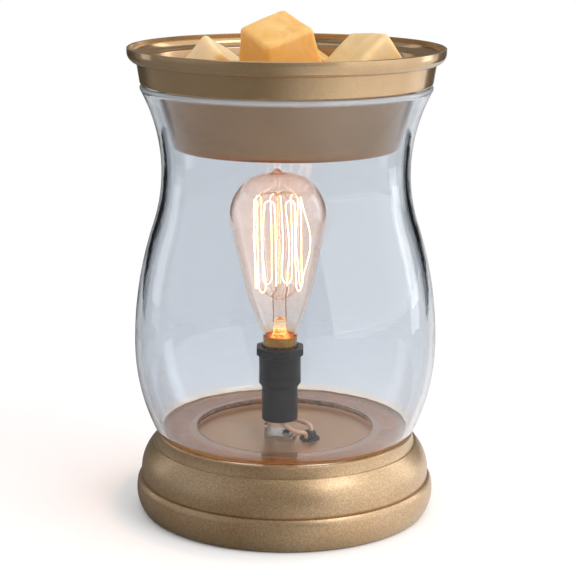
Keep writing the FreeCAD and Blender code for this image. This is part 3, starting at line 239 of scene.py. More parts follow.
def outline(corners, step=1.0):
    """Points of a closed outline with its arcs and rounded corners."""
    count = len(corners)
    sides = []
    for index, corner in enumerate(corners):
        bend = corner.get("swell") or corner.get("hollow")
        goal = corners[(index + 1) % count]["spot"]
        sides.append(side(corner["spot"], goal, bend, "swell" in corner, step))
    joined = []
    for index, corner in enumerate(corners):
        before, after = sides[index - 1], sides[index]
        if "round" in corner:
            into, out = before[-1] - before[-2], after[1] - after[0]
            turn = abs(math.atan2(into[0] * out[1] - into[1] * out[0], into @ out))
            cut = corner["round"] * math.tan(turn / 2)
            sides[index - 1] = before = shortened(before, cut)
            sides[index] = after = shortened(after[::-1], cut)[::-1]
            share = np.linspace(0, 1, 7)[1:-1, None]
            corner["bow"] = ((1 - share) ** 2 * before[-1] + 2 * share * (1 - share) * corner["spot"]
                             + share ** 2 * after[0])
    for index, corner in enumerate(corners):
        if "bow" in corner:
            joined.append(corner["bow"])
        joined.append(sides[index])
    points = np.vstack(joined)
    apart = np.hypot(*(points - np.roll(points, 1, axis=0)).T) > 1e-4
    return points[apart]


def in_scene(name, data):
    """A new object in the scene."""
    thing = bpy.data.objects.new(name, data)
    bpy.context.scene.collection.objects.link(thing)
    return thing


def finished(name, mesh, material, body, replaces, crease=35):
    """A mesh as a piece of the lamp: smooth, on its body, with its material and slot."""
    piece = in_scene(name, mesh)
    mesh.materials.clear()
    mesh.materials.append(material)
    mesh.shade_smooth()
    mesh.set_sharp_from_angle(angle=math.radians(crease))
    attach(piece, body)
    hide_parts(*replaces)


def lathe(name, points, segments=224, ripple=None, placed=Matrix()):
    """A closed solid turned about Z. ripple moves the radius by angle, radius and height."""
    on_axis = points[:, 0] < 1e-5
    angles = np.arange(segments) * math.tau / segments
    verts, rings = [], []
    for (across, up), pole in zip(points, on_axis):
        if pole:
            rings.append([len(verts)] * segments)
            verts.append((0.0, 0.0, up))
            continue
        rings.append(range(len(verts), len(verts) + segments))
        reach = across + (ripple(angles, across, up) if ripple else 0 * angles)
        verts += list(zip(reach * np.cos(angles), reach * np.sin(angles), [up] * segments))
    faces = []
    for ring, above in zip(rings, rings[1:] + rings[:1]):
        for here in range(segments):
            there = (here + 1) % segments
            corners = [ring[here], ring[there], above[there], above[here]]
            corners = [c for place, c in enumerate(corners) if c not in corners[:place]]
            if len(corners) > 2:
                faces.append(corners)
    mesh = bpy.data.meshes.new(name)
    mesh.from_pydata(verts, [], faces)
    mesh.transform(Matrix.Scale(MM, 4) @ placed)
    mesh.validate()
    return mesh


def lift(height, across=0.0, depth=0.0, lean=0.0):
    """A place off the origin, with a lean about Y in degrees."""
    return Matrix.Translation((across, depth, height)) @ Matrix.Rotation(math.radians(lean), 4, "Y")


def height_in(tree, spots):
    """How high a place is, in millimetres."""
    return add(tree, "ShaderNodeSeparateXYZ", {0: spots}).outputs["Z"]


def glass(name, centre, rim, foot, ends, waviness=0.004, swirl=14.0):
    """Clear glass that darkens where it is seen edge-on, partly the grey of thick glass and partly painted
    shade for its dark edges, with a painted warm reflection at its foot of what it stands in, and an upper
    end made partly diffuse, which stands in for the bright line of light along the lip. Lamps shine through
    it."""
    material, tree, shader, spots = new_finish(name)
    facing = add(tree, "ShaderNodeLayerWeight", {"Blend": 0.42}).outputs["Facing"]
    streaks = clouds(tree, spots, 1 / swirl, 3.0)
    moved = combined(tree, "ADD", facing, scaled(tree, streaks, start=-0.05, end=0.05))
    height = height_in(tree, spots)
    above = scaled(tree, height, ends[0], ends[0] + 6.0)
    below = scaled(tree, height, ends[1] - 5.0, ends[1], 1.0, 0.0)
    moved = combined(tree, "MULTIPLY", moved, combined(tree, "MULTIPLY", above, below))
    # darker where seen edge-on: partly the grey of thick glass, partly painted shade for the dark edges
    tint = coloured(tree, moved, [(0.4, centre), (0.97, rim)])
    # painted reflection: the foot takes the warm tone of what it stands in
    painted_warm_share = scaled(tree, height, ends[0] + 1.0, ends[0] + 5.0, 1.0, 0.0)
    tree.links.new(blended(tree, painted_warm_share, tint, srgb(foot)), shader.inputs["Base Color"])
    # the upper end is partly diffuse, standing in for the bright line of light along the lip
    see_through = scaled(tree, height, ends[1], ends[1] + 1.2, 1.0, 0.62)
    tree.links.new(see_through, shader.inputs["Transmission Weight"])
    tree.links.new(scaled(tree, streaks, end=0.02), shader.inputs["Roughness"])
    ridged(tree, shader, streaks, waviness * swirl)
    shader.inputs["IOR"].default_value = 1.5
    clear = add(tree, "ShaderNodeBsdfTransparent", {"Color": srgb("#f2f2f2")})
    shadow = add(tree, "ShaderNodeLightPath").outputs["Is Shadow Ray"]
    mixed = add(tree, "ShaderNodeMixShader", {0: shadow, 1: shader.outputs[0], 2: clear.outputs[0]})
    tree.links.new(mixed.outputs[0], tree.nodes["Material Output"].inputs["Surface"])
    return material, tree, shader, height


WALL = 2.2
FOOT_ROUND, LOWER_BOW = 5.0, 82.0
BELLY, BELLY_UP, WAIST, WAIST_UP, TALL = 61.6, 38.1, 50.1, 109.1, 143.6
FLARE, HOLE = 7.3, 36.3


def glass_outline():
    """Even wall between two runs of tangent arcs, closed by the round lip."""
    foot_sine = (BELLY_UP - FOOT_ROUND) / (LOWER_BOW - FOOT_ROUND)
    foot_cosine = math.sqrt(1 - foot_sine ** 2)
    rise = WAIST_UP - BELLY_UP
    lean = 2 * math.atan((BELLY - WAIST) / rise)
    lip = WALL / 2
    climb = TALL - lip - WAIST_UP
    waist_bow = (FLARE ** 2 + climb ** 2 - lip ** 2) / (FLARE + lip) / 2
    belly_bow = rise / math.sin(lean) - waist_bow
    lip_sine, lip_cosine = climb / (waist_bow + lip), (waist_bow - FLARE) / (waist_bow + lip)

    def foot_side(inset):
        return (BELLY - LOWER_BOW + (LOWER_BOW - inset) * foot_cosine,
                BELLY_UP - (LOWER_BOW - inset) * foot_sine)

    def shoulder(inset):
        return (BELLY - belly_bow + (belly_bow - inset) * math.cos(lean),
                BELLY_UP + (belly_bow - inset) * math.sin(lean))

    def mouth(inset):
        return (WAIST + waist_bow - (waist_bow + inset) * lip_cosine,
                WAIST_UP + (waist_bow + inset) * lip_sine)

    foot_centre = BELLY - LOWER_BOW + (LOWER_BOW - FOOT_ROUND) * foot_cosine
    middle = mouth(lip)
    return outline([
        at(HOLE, 0, round=0.5), at(foot_centre, 0, swell=FOOT_ROUND), at(*foot_side(0), swell=LOWER_BOW),
        at(BELLY, BELLY_UP, swell=belly_bow), at(*shoulder(0), hollow=waist_bow),
        at(*mouth(0), swell=lip), at(middle[0] + lip * lip_sine, middle[1] + lip * lip_cosine, swell=lip),
        at(*mouth(WALL), swell=waist_bow + WALL), at(*shoulder(WALL), hollow=belly_bow - WALL),
        at(BELLY - WALL, BELLY_UP, hollow=LOWER_BOW - WALL), at(*foot_side(WALL), hollow=FOOT_ROUND - WALL),
        at(foot_centre, WALL), at(HOLE, WALL, round=0.5),
    ], step=1.2)


# clear soda-lime glass, faintly grey in its thickness, with painted shade at its edges and a painted warm
# reflection at its foot
clear_glass = glass("clear_glass", "#dfe3e8", "#abb1b9", "#fae6c8", (32.0, GLASS_FOOT + TALL - 2.4))[0]
shade_mesh = lathe("glass_shade_blown", glass_outline(), segments=288, placed=lift(GLASS_FOOT))
finished("glass_shade_blown", shade_mesh, clear_glass, "base", ["glass_shade"], crease=60)

# clear silicone, which takes the tint of the lacquer below it
silicone = surface("clear_silicone", [(0.3, "#d3a774"), (0.7, "#dfb985")], patch=6.0, grain=0.8,
                   rough=(0.2, 0.35), relief=0.01, Alpha=0.45)[0]
dress("glass_seal", silicone)

# ==================================================================== feet and cover screws
# Four soft feet with ringed treads and three pan-head screws with cross recesses. One of each is
# made about its own axis and set round the base by a node group.


def ring_tree():
    """Node group: copies of a solid set evenly round the axis."""
    tree = bpy.data.node_groups.new("set_round", "GeometryNodeTree")
    for name, kind in (("Solid", "Geometry"), ("Circle", "Float"), ("Count", "Int"), ("First turn", "Vector"),
                       ("Finish", "Material")):
        tree.interface.new_socket(name, in_out="INPUT", socket_type=f"NodeSocket{kind}")
    tree.interface.new_socket("Set", in_out="OUTPUT", socket_type="NodeSocketGeometry")
    given = add(tree, "NodeGroupInput").outputs
    circle = add(tree, "GeometryNodeMeshCircle", {"Vertices": given["Count"], "Radius": given["Circle"]})
    turned = add(tree, "GeometryNodeTransform",
                 {"Geometry": circle.outputs[0], "Rotation": given["First turn"]})
    copies = add(tree, "GeometryNodeInstanceOnPoints",
                 {"Points": turned.outputs[0], "Instance": given["Solid"]})
    real = add(tree, "GeometryNodeRealizeInstances", {"Geometry": copies.outputs[0]})
    painted = add(tree, "GeometryNodeSetMaterial", {"Geometry": real.outputs[0], "Material": given["Finish"]})
    add(tree, "NodeGroupOutput", {"Set": painted.outputs[0]})
    return tree


def grown(name, start, tree, **inputs):
    """The plain mesh that a node group makes of a starting mesh."""
    seed = in_scene(f"{name}_start", start)
    modifier = seed.modifiers.new("grow", "NODES")
    modifier.node_group = tree
    for item in tree.interface.items_tree:
        if item.in_out == "INPUT" and item.name in inputs:
            modifier[item.identifier] = inputs[item.name]
    bpy.context.view_layer.update()
    seen = seed.evaluated_get(bpy.context.evaluated_depsgraph_get())
    mesh = bpy.data.meshes.new_from_object(seen)
    mesh.name = name
    bpy.data.objects.remove(seed)
    return mesh


SET_ROUND = ring_tree()
FEET_CIRCLE, POST_CIRCLE, COVER_FOOT = 50.0, 43.0, 2.6
HEAD, SHANK, TIP = 1.6, 1.4, 10.6       # the screw's head, its shank's radius and its whole height


def set_round(name, one, circle, count, first, material, node):
    """A piece made of copies of one solid, the first turned by that many degrees."""
    mesh = grown(name, one, SET_ROUND, **{"Circle": circle * MM, "Count": count, "Finish": material,
                                          "First turn": (0.0, 0.0, math.radians(first))})
    finished(name, mesh, material, "base", [node])


foot_outline = outline([
    at(0, 0.4), at(1.0, 0.4), at(1.2, 0), at(2.0, 0), at(2.2, 0.4), at(2.8, 0.4), at(3.0, 0), at(3.8, 0),
    at(4.0, 0.4), at(4.5, 0.4), at(4.7, 0), at(6.0, 0, round=1.0), at(6.0, 2.6), at(0, 2.6),
], step=0.6)
foot_mesh = lathe("foot", foot_outline, segments=72)
set_round("rubber_feet_treaded", foot_mesh, FEET_CIRCLE, 4, 45, rubber, "rubber_feet")


def screw_thread(angles, across, up):
    """Cut thread of 1 mm pitch on the shank."""
    fade = max(0.0, min(1.0, up - COVER_FOOT - 0.6, (COVER_FOOT + 9.0 - up) * 2))
    return fade * (0.12 * np.cos(angles - math.tau * up) - 0.12) if across < 1.5 else 0 * angles


screw_outline = outline([
    at(0, 0), at(1.8, 0, swell=2.9), at(2.9, 1.1, round=0.15), at(2.9, HEAD), at(SHANK, HEAD),
    at(SHANK, TIP - 0.3), at(SHANK - 0.3, TIP), at(0, TIP),
], step=0.12)
screw_mesh = lathe("screw", screw_outline, segments=96, ripple=screw_thread, placed=lift(COVER_FOOT - HEAD))
# the cross recess, deepest at its middle
for vert in screw_mesh.vertices:
    x, y, z = vert.co / MM
    if z < COVER_FOOT - 1.0:
        arm, width = max(abs(x), abs(y)), min(abs(x), abs(y))
        inside = min(1.0, max(0.0, (0.36 - width) / 0.1)) * min(1.0, max(0.0, (1.7 - arm) / 0.2))
        vert.co.z += inside * (1.25 - 0.35 * arm) * MM
set_round("cover_screws_crossed", screw_mesh, POST_CIRCLE, 3, 30, zinc, "cover_screws")

# ==================================================================================== dish
# The dish is pressed from thin steel: a flat-bottomed bowl, a step that sits on the glass, a
# flared skirt and a quarter round that turns up into the rim. Its lacquer is the base's.
BOWL_DEPTH, DISH_WALL = 25.2, 0.8
DISH_SEAT = LEVEL["dish"][0] + BOWL_DEPTH
dish_outline = outline([
    at(0, -BOWL_DEPTH), at(45.4, -BOWL_DEPTH, round=2.4), at(52.6, 0, round=0.8), at(58.3, 0, round=1.2),
    at(59.6, 8.4, swell=4.4), at(63.4, 12.8), at(63.4, 14.3, swell=0.41), at(62.6, 14.3),
    at(62.6, 12.8, hollow=3.6), at(58.96, 9.2, round=0.6), at(57.5, DISH_WALL, round=0.6),
    at(51.8, DISH_WALL, round=1.6), at(44.6, DISH_WALL - BOWL_DEPTH, round=1.6),
    at(0, DISH_WALL - BOWL_DEPTH),
], step=0.6)
# champagne lacquer on the pressed dish, glossier than on the base
dish_lacquer, dish_tree, dish_shader, dish_spots = surface(
    "champagne_dish_lacquer", CHAMPAGNE, patch=26.0, grain=0.3, rough=(0.13, 0.21), relief=0.001,
    worn="#ecd9b6", fleck=0.06, Metallic=0.8, Coat_Weight=0.3, Coat_Roughness=0.1)
# painted warm light of the bulb: the bowl below the step is tinted warmer, most at its foot
up_bowl = scaled(dish_tree, height_in(dish_tree, dish_spots), DISH_SEAT - BOWL_DEPTH, DISH_SEAT)
painted_bulb_glow = coloured(dish_tree, up_bowl,
                   [(0.0, "#dfa268"), (0.14, "#dcc8b5"), (0.93, "#dfcdbd"), (1.0, "#ffffff")])
retinted(dish_tree, dish_shader, 1.0, painted_bulb_glow, blend_type="MULTIPLY")
dish_mesh = lathe("dish_pressed", dish_outline, segments=288, placed=lift(DISH_SEAT))
finished("dish_pressed", dish_mesh, dish_lacquer, "dish", ["dish"], crease=50)

# ===================================================================================== wax
# Scented wax: a bed set in the bowl with a raised edge against the wall, and four moulded
# melts on it, softened and slightly slumped by the lamp's warmth.
BED_FOOT, WAX_TOP = LEVEL["wax_bed"]


def wax(name, light, deep, painted_glow_colour, streak=9.0, gloss=(0.28, 0.45)):
    """Translucent wax with faint swirled streaks, a warmer tone painted towards its foot for the lamp's light
    there, and a soft, slightly oily skin."""
    material, tree, shader, spots = new_finish(name)
    warp = add(tree, "ShaderNodeTexNoise", {"Vector": spots, "Scale": 0.06, "Detail": 1.0})
    pushed = add(tree, "ShaderNodeVectorMath", {0: warp.outputs["Color"], 1: (40.0,) * 3},
                 operation="MULTIPLY")
    swirled = add(tree, "ShaderNodeVectorMath", {0: spots, 1: pushed.outputs[0]}, operation="ADD")
    bands = clouds(tree, swirled.outputs[0], 1 / streak, 2.0)
    tint = coloured(tree, bands, [(0.3, deep), (0.68, light)])
    # painted glow: the wax is warmer towards its foot, for the lamp's light
    painted_warm_share = scaled(tree, height_in(tree, spots), WAX_TOP + 1.0, WAX_TOP + 25.0, 0.75, 0.0)
    tree.links.new(blended(tree, painted_warm_share, tint, srgb(painted_glow_colour)), shader.inputs["Base Color"])
    skin = clouds(tree, spots, 1.4, 4.0)
    tree.links.new(scaled(tree, skin, start=gloss[0], end=gloss[1]), shader.inputs["Roughness"])
    ridged(tree, shader, skin, 0.05)
    shader.inputs["Subsurface Weight"].default_value = 0.8
    shader.inputs["Subsurface Radius"].default_value = (1.0, 0.6, 0.25)
    shader.inputs["Subsurface Scale"].default_value = 6 * MM
    return material


# each melt: its slot, its light, deep and painted glow colours, its centre across, in depth and over the
# wax, its yaw, pitch and roll, and its large end and length
MELTS = {
    "wax_melt_left": ("pale_wax", "#f2dfba", "#ecd2a2", "#e6c68c",
                      (-29.7, 11.7, 4.3), (173.5, 49.5, 141.3), 23.6, 19.0),
    "wax_melt_middle": ("amber_wax", "#ebc482", "#e3b062", "#e39c38",
                        (-3.0, -11.5, 16.5), (124.2, -18.4, 69.4), 26.0, 21.5),
    "wax_melt_right": ("cream_wax", "#e6cfa6", "#dcbf8d", "#d9b46c",
                       (30.7, -0.2, 9.4), (133.7, 2.8, 55.7), 23.6, 19.0),
    "wax_melt_back": ("honey_wax", "#ebcb90", "#dfb46c", "#dda850",
                      (9.0, 28.0, 4.0), (0.0, 35.0, -90.0), 23.6, 19.0),
}
SMALL_END = 21.0


def melt_mesh(name, spot, turns, large, length):
    """A drafted block with soft edges, dimpled by melting and cut flat where it stands."""
    block = bmesh.new()
    bmesh.ops.create_cube(block, size=1.0)
    for vert in block.verts:
        end = large if vert.co.y < 0 else SMALL_END
        vert.co = Vector((vert.co.x * end, vert.co.y * length, vert.co.z * end))
    bmesh.ops.bevel(block, geom=block.edges[:], offset=2.0, segments=6, profile=0.5, affect="EDGES")
    bmesh.ops.triangulate(block, faces=[face for face in block.faces if len(face.verts) > 4])
    for _ in range(5):
        long_edges = [edge for edge in block.edges if edge.calc_length() > 1.3]
        if not long_edges:
            break
        bmesh.ops.subdivide_edges(block, edges=long_edges, cuts=1, use_grid_fill=True)
    bmesh.ops.recalc_face_normals(block, faces=block.faces[:])
    block.normal_update()
    seed = Vector(spot)
    shifts = {vert: vert.normal * (0.55 * noise.noise(vert.co * 0.09 + seed)
                                   + 0.12 * noise.noise(vert.co * 0.45 + seed)) for vert in block.verts}
    for vert, shift in shifts.items():
        vert.co += shift
    yaw, pitch, roll = (math.radians(turn) for turn in turns)
    turned = (Matrix.Rotation(yaw, 4, "Z") @ Matrix.Rotation(pitch, 4, "Y") @ Matrix.Rotation(roll, 4, "X"))
    placed = Matrix.Translation((spot[0], spot[1], WAX_TOP + spot[2])) @ turned
    block.transform(placed)
    cut = bmesh.ops.bisect_plane(block, geom=block.verts[:] + block.edges[:] + block.faces[:],
                                 plane_co=(0, 0, WAX_TOP + 0.1), plane_no=(0, 0, -1), clear_outer=True)
    rim = [item for item in cut["geom_cut"] if isinstance(item, bmesh.types.BMEdge)]
    bmesh.ops.edgeloop_fill(block, edges=rim)
    bmesh.ops.scale(block, vec=(MM,) * 3, verts=block.verts[:])
    mesh = bpy.data.meshes.new(name)
    block.to_mesh(mesh)
    block.free()
    return mesh


for node, (slot, light, deep, painted_glow_colour, spot, turns, large, length) in MELTS.items():
    melt = melt_mesh(f"{node}_soft", spot, turns, large, length)
    finished(f"{node}_soft", melt, wax(slot, light, deep, painted_glow_colour), node, [node], crease=70)

# set wax, the palest, glossier than the melts
bed_outline = outline([
    at(0, 0), at(44.4, 0, round=2.4), at(50.9, 22.1, round=0.15), at(50.3, 22.0), at(49.2, 21.5, swell=4.0),
    at(47.5, 21.3, round=1.0), at(0, 21.4),
], step=1.0)
bed_mesh = lathe("wax_bed_set", bed_outline, segments=160, placed=lift(BED_FOOT))
set_wax = wax("set_wax", "#f1ddb0", "#e8c98c", "#ecc88a", streak=12.0, gloss=(0.15, 0.3))
finished("wax_bed_set", bed_mesh, set_wax, "dish", ["wax_bed"])

# ================================================================================== socket
# Small screw socket of black phenolic on a plated steel bracket, its brass screw shell inside.
# The collar is eight-sided.
SOCKET_FOOT = LEVEL["socket_body"][0]
SOCKET = (-2.1, -6.0)
BARREL, SKIRT = 8.55, 7.35
COLLAR_FLATS = 18.95        # across the collar's flats


def collar_ripple(angles, across, up):
    """Eight flats on the collar, fading into the round barrel below."""
    if across < BARREL + 0.1:
        return 0 * angles
    flat = (COLLAR_FLATS / 2) / np.cos((angles + math.pi / 8) % (math.pi / 4) - math.pi / 8)
    return (flat - across) * min(1.0, (across - BARREL) / 0.9)


socket_outline = outline([
    at(6.3, 0, round=0.3), at(SKIRT, 0, round=0.4), at(SKIRT, 14, round=0.6), at(BARREL, 15.5, round=0.6),
    at(BARREL, 26.9, round=0.3), at(9.5, 28.0, round=0.4), at(10.2, 28.6, round=0.3),
    at(10.2, 30.3, round=0.3), at(9.9, 30.7, round=0.2), at(7.9, 30.7, round=0.3), at(6.9, 29.7, round=0.3),
    at(6.9, 13.5, round=0.2),
    at(0, 13.5), at(0, 10.5), at(6.3, 10.5, round=0.2),
], step=0.6)
# compression-moulded phenolic, dull black with brown depth
phenolic = surface("black_phenolic", [(0.3, "#0e0a08"), (0.7, "#1a1411")], patch=4.0, grain=0.35,
                   rough=(0.34, 0.5), relief=0.012, worn="#54412f", Specular_IOR_Level=0.18)[0]
socket_mesh = lathe("socket_moulding", socket_outline, segments=160, ripple=collar_ripple,
                    placed=lift(SOCKET_FOOT, *SOCKET))
finished("socket_moulding", socket_mesh, phenolic, "base", ["socket_body"], crease=25)

# drawn brass, warm and slightly tarnished
brass = surface("drawn_brass", [(0.3, "#b08d4c"), (0.7, "#cba862")], patch=2.5, grain=0.2,
                rough=(0.2, 0.36), relief=0.004, Metallic=1.0)[0]
# nickel-plated steel strip
nickel = surface("nickel_plate", [(0.3, "#b3aca2"), (0.7, "#c9c2b6")], patch=4.0, grain=0.25,
                 rough=(0.18, 0.32), relief=0.004, Metallic=1.0)[0]
for node in ("socket_screw_shell", "socket_centre_contact", "terminal_live", "terminal_neutral",
             "socket_rivets"):
    dress(node, brass)
for node in ("socket_bracket", "bracket_screw"):
    dress(node, nickel)
dress("wire_grommet", rubber)
dress("wire_connectors", nylon)

# =================================================================================== leads
# Two silicone-covered leads run from the socket's terminals through the grommet to their
# Each is a round wire drawn along its given route.


def wire_tree():
    """Node group: a round wire along a drawn line."""
    tree = bpy.data.node_groups.new("round_wire", "GeometryNodeTree")
    for name, kind in (("Line", "Geometry"), ("Radius", "Float"), ("Sides", "Int"), ("Finish", "Material")):
        tree.interface.new_socket(name, in_out="INPUT", socket_type=f"NodeSocket{kind}")
    tree.interface.new_socket("Wire", in_out="OUTPUT", socket_type="NodeSocketGeometry")
    given = add(tree, "NodeGroupInput")
    curve = add(tree, "GeometryNodeMeshToCurve", {"Mesh": given.outputs["Line"]})
    circle = add(tree, "GeometryNodeCurvePrimitiveCircle",
                 {"Radius": given.outputs["Radius"], "Resolution": given.outputs["Sides"]})
    tube = add(tree, "GeometryNodeCurveToMesh",
               {"Curve": curve.outputs[0], "Profile Curve": circle.outputs[0], "Fill Caps": True})
    smooth = add(tree, "GeometryNodeSetShadeSmooth", {"Geometry": tube.outputs[0]})
    real = add(tree, "GeometryNodeRealizeInstances", {"Geometry": smooth.outputs[0]})
    painted = add(tree, "GeometryNodeSetMaterial", {"Geometry": real.outputs[0],
                                                    "Material": given.outputs["Finish"]})
    add(tree, "NodeGroupOutput", {"Wire": painted.outputs[0]})
    return tree


ROUND_WIRE = wire_tree()


def line_mesh(name, runs):
    """Separate open lines as edges, from points in millimetres."""
    verts, edges = [], []
    for run in runs:
        first = len(verts)
        verts += [Vector(point) * MM for point in run]
        edges += [(place, place + 1) for place in range(first, len(verts) - 1)]
    mesh = bpy.data.meshes.new(name)
    mesh.from_pydata(verts, edges, [])
    return mesh


def wires(name, runs, radius, material, body, slot, replaces, sides=14):
    """A piece made of round wires along lines."""
    start = line_mesh(name, runs)
    mesh = grown(name, start, ROUND_WIRE, Radius=radius * MM, Sides=sides, Finish=material)
    finished(name, mesh, material, body, replaces, crease=60)


def eased(points, steps=7):
    """Straight runs joined by bends as large as the shorter run beside each allows."""
    spots = [Vector(point) for point in points]
    line = [spots[0]]
    for before, here, after in zip(spots, spots[1:], spots[2:]):
        reach = 0.45 * min((before - here).length, (after - here).length)
        enter, leave = (here + (end - here).normalized() * reach for end in (before, after))
        for step in range(steps + 1):
            share = step / steps
            line.append(enter.lerp(here, share).lerp(here.lerp(leave, share), share))
    return line + [spots[-1]]


LIVE = [(-2.1, -10.25, 43.0), (-2.1, -10.25, 38.2), (4.4, -13.8, 34.8), (8.85, -12.4, 34.4),
        (8.85, -12.4, 14.3), (6.0, -2.0, 7.8), (3.5, 11.0, 6.6), (3.5, 18.0, 6.6)]
NEUTRAL = [(0.25, -1.5, 43.0), (0.25, -1.5, 37.4), (6.5, -6.3, 37.4), (10.9, -9.8, 37.1),
           (10.9, -9.8, 14.3), (12.6, -1.0, 7.8), (12.5, 11.0, 6.6), (12.5, 18.0, 6.6)]
# silicone rubber insulation in the natural pale pink
insulation = surface("pale_silicone_insulation", [(0.3, "#e2b592"), (0.7, "#efc9aa")], patch=3.0, grain=0.3,
                     rough=(0.35, 0.5), relief=0.01, Subsurface_Weight=0.3, Subsurface_Scale=0.001)[0]
for name, route in (("lead_live", LIVE), ("lead_neutral", NEUTRAL)):
    wires(f"{name}_cable", [eased(route)], 0.9, insulation, "base", "pale_insulation", [name], sides=20)

# ================================================================================ bulb cap
# The bulb's brass cap has a rolled thread below and a plain skirt above, which is cemented to
# the glass. Black glass at its foot keeps the solder contact apart.
CAP_TOP = 35.4              # over the socket's foot
RIM = SOCKET_FOOT + CAP_TOP
LEAN = -1.2
PITCH, THREAD_DEPTH = 2.54, 0.32


def thread_ripple(angles, across, up):
    """Rolled thread on the lower part of the cap."""
    fade = max(0.0, min(1.0, (up - 20.2) / 1.2, (30.6 - up) / 1.2))
    return THREAD_DEPTH * fade * np.cos(angles - math.tau * up / PITCH) - THREAD_DEPTH * fade


cap_outline = outline([
    at(4.7, 18.9), at(5.0, 18.9, round=0.2), at(5.87, 19.8, round=0.3), at(5.87, 30.1, round=0.3),
    at(6.95, 31.5, round=0.5), at(6.95, 35.2, round=0.1), at(6.85, CAP_TOP, round=0.1), at(6.65, CAP_TOP),
    at(6.65, 31.6, round=0.4), at(5.57, 30.2, round=0.4), at(5.57, 19.9),
], step=0.28)
cap_mesh = lathe("bulb_cap_rolled", cap_outline, segments=96, ripple=thread_ripple,
                 placed=lift(SOCKET_FOOT, *SOCKET))
# gilt brass, lacquered
gilt = surface("gilt_brass_cap", [(0.3, "#a06c28"), (0.7, "#bd8a3c")], patch=2.0, grain=0.25,
               rough=(0.22, 0.36), relief=0.004, Metallic=1.0)[0]
finished("bulb_cap_rolled", cap_mesh, gilt, "bulb", ["bulb_cap"], crease=50)
# black glass, glossy
vitrite = surface("black_vitrite", [(0.3, "#0c0b0d"), (0.7, "#17151a")], patch=2.0, grain=0.4,
                  rough=(0.08, 0.18), relief=0.01)[0]
# dull solder
solder = surface("dull_solder", [(0.3, "#8c8c8e"), (0.7, "#adadaf")], patch=1.2, grain=0.3,
                 rough=(0.3, 0.5), relief=0.02, Metallic=1.0)[0]
dress("bulb_cap_insulator", vitrite)
dress("bulb_contact", solder)

# ============================================================================ bulb's glass
# Blown pear-shaped envelope with its sealed-off tip, and inside it the mount: a flare sealed
# in the neck, a flat press and a rod with two glass hubs.
CENTRE, ROUND, TAPER, BULB_WALL = 49.2, 19.55, math.radians(12.4), 0.7
CROWN_SHARE, CROWN_BOW, NECK = 11.5 / ROUND, 26.0, 6.4


def envelope_outline():
    """Neck, cone, round crown and tip, with an even wall. Heights count from the cap's rim."""
    cone_foot = 18.7
    cone_reach = ROUND * math.cos(TAPER) - (CENTRE - ROUND * math.sin(TAPER) - cone_foot) * math.tan(TAPER)
    neck_lean = 2 * math.atan((cone_reach - NECK) / cone_foot) - TAPER
    neck_bow = cone_foot / (math.sin(neck_lean) - math.sin(TAPER))

    def cone(inset):
        return cone_reach - inset * math.cos(TAPER), cone_foot + inset * math.sin(TAPER)

    def shoulder(inset):
        return (ROUND - inset) * math.cos(TAPER), CENTRE - (ROUND - inset) * math.sin(TAPER)

    def crown(inset):
        return (ROUND - inset) * CROWN_SHARE, CENTRE + (ROUND - inset) * math.sqrt(1 - CROWN_SHARE ** 2)

    return outline([
        at(NECK - BULB_WALL, -3.0), at(NECK, -3.0), at(NECK, 0, swell=neck_bow), at(*cone(0)),
        at(*shoulder(0), swell=ROUND), at(*crown(0), swell=CROWN_BOW), at(2.9, 66.9, hollow=2.9),
        at(1.3, 68.2, swell=1.7), at(0, 68.8), at(0, 66.3), at(2.9, 66.2, hollow=CROWN_BOW - BULB_WALL),
        at(*crown(BULB_WALL), hollow=ROUND - BULB_WALL), at(*shoulder(BULB_WALL)),
        at(*cone(BULB_WALL), hollow=neck_bow - BULB_WALL),
        at(NECK - BULB_WALL * math.cos(neck_lean), BULB_WALL * math.sin(neck_lean)),
    ], step=0.7)


IN_CAP = lift(RIM, *SOCKET, lean=LEAN)
# thin blown bulb glass with painted warm edges and foot and a faint painted glow, for the light in it
bulb_glass, bulb_tree, bulb_shader, bulb_height = glass(
    "bulb_glass", "#fffaf5", "#dfc3ac", "#ffd9a4", (RIM - 1.0, RIM + 66.0), waviness=0.003, swirl=7.0)
# painted glow: the glass itself shines faintly orange, most where seen face-on and higher up
lit_up = scaled(bulb_tree, bulb_height, RIM + 4.0, RIM + 26.0, 0.2, 1.0, interpolation_type="SMOOTHSTEP")
turned = add(bulb_tree, "ShaderNodeLayerWeight", {"Blend": 0.5}).outputs["Facing"]
painted_glass_glow = combined(bulb_tree, "MULTIPLY", lit_up, scaled(bulb_tree, turned, 0.05, 0.8, 0.09, 0.02))
bulb_tree.links.new(painted_glass_glow, bulb_shader.inputs["Emission Strength"])
bulb_shader.inputs["Emission Color"].default_value = srgb("#ffa763")
envelope_mesh = lathe("bulb_envelope_blown", envelope_outline(), segments=192, placed=IN_CAP)
finished("bulb_envelope_blown", envelope_mesh, bulb_glass, "bulb", ["bulb_envelope"], crease=60)

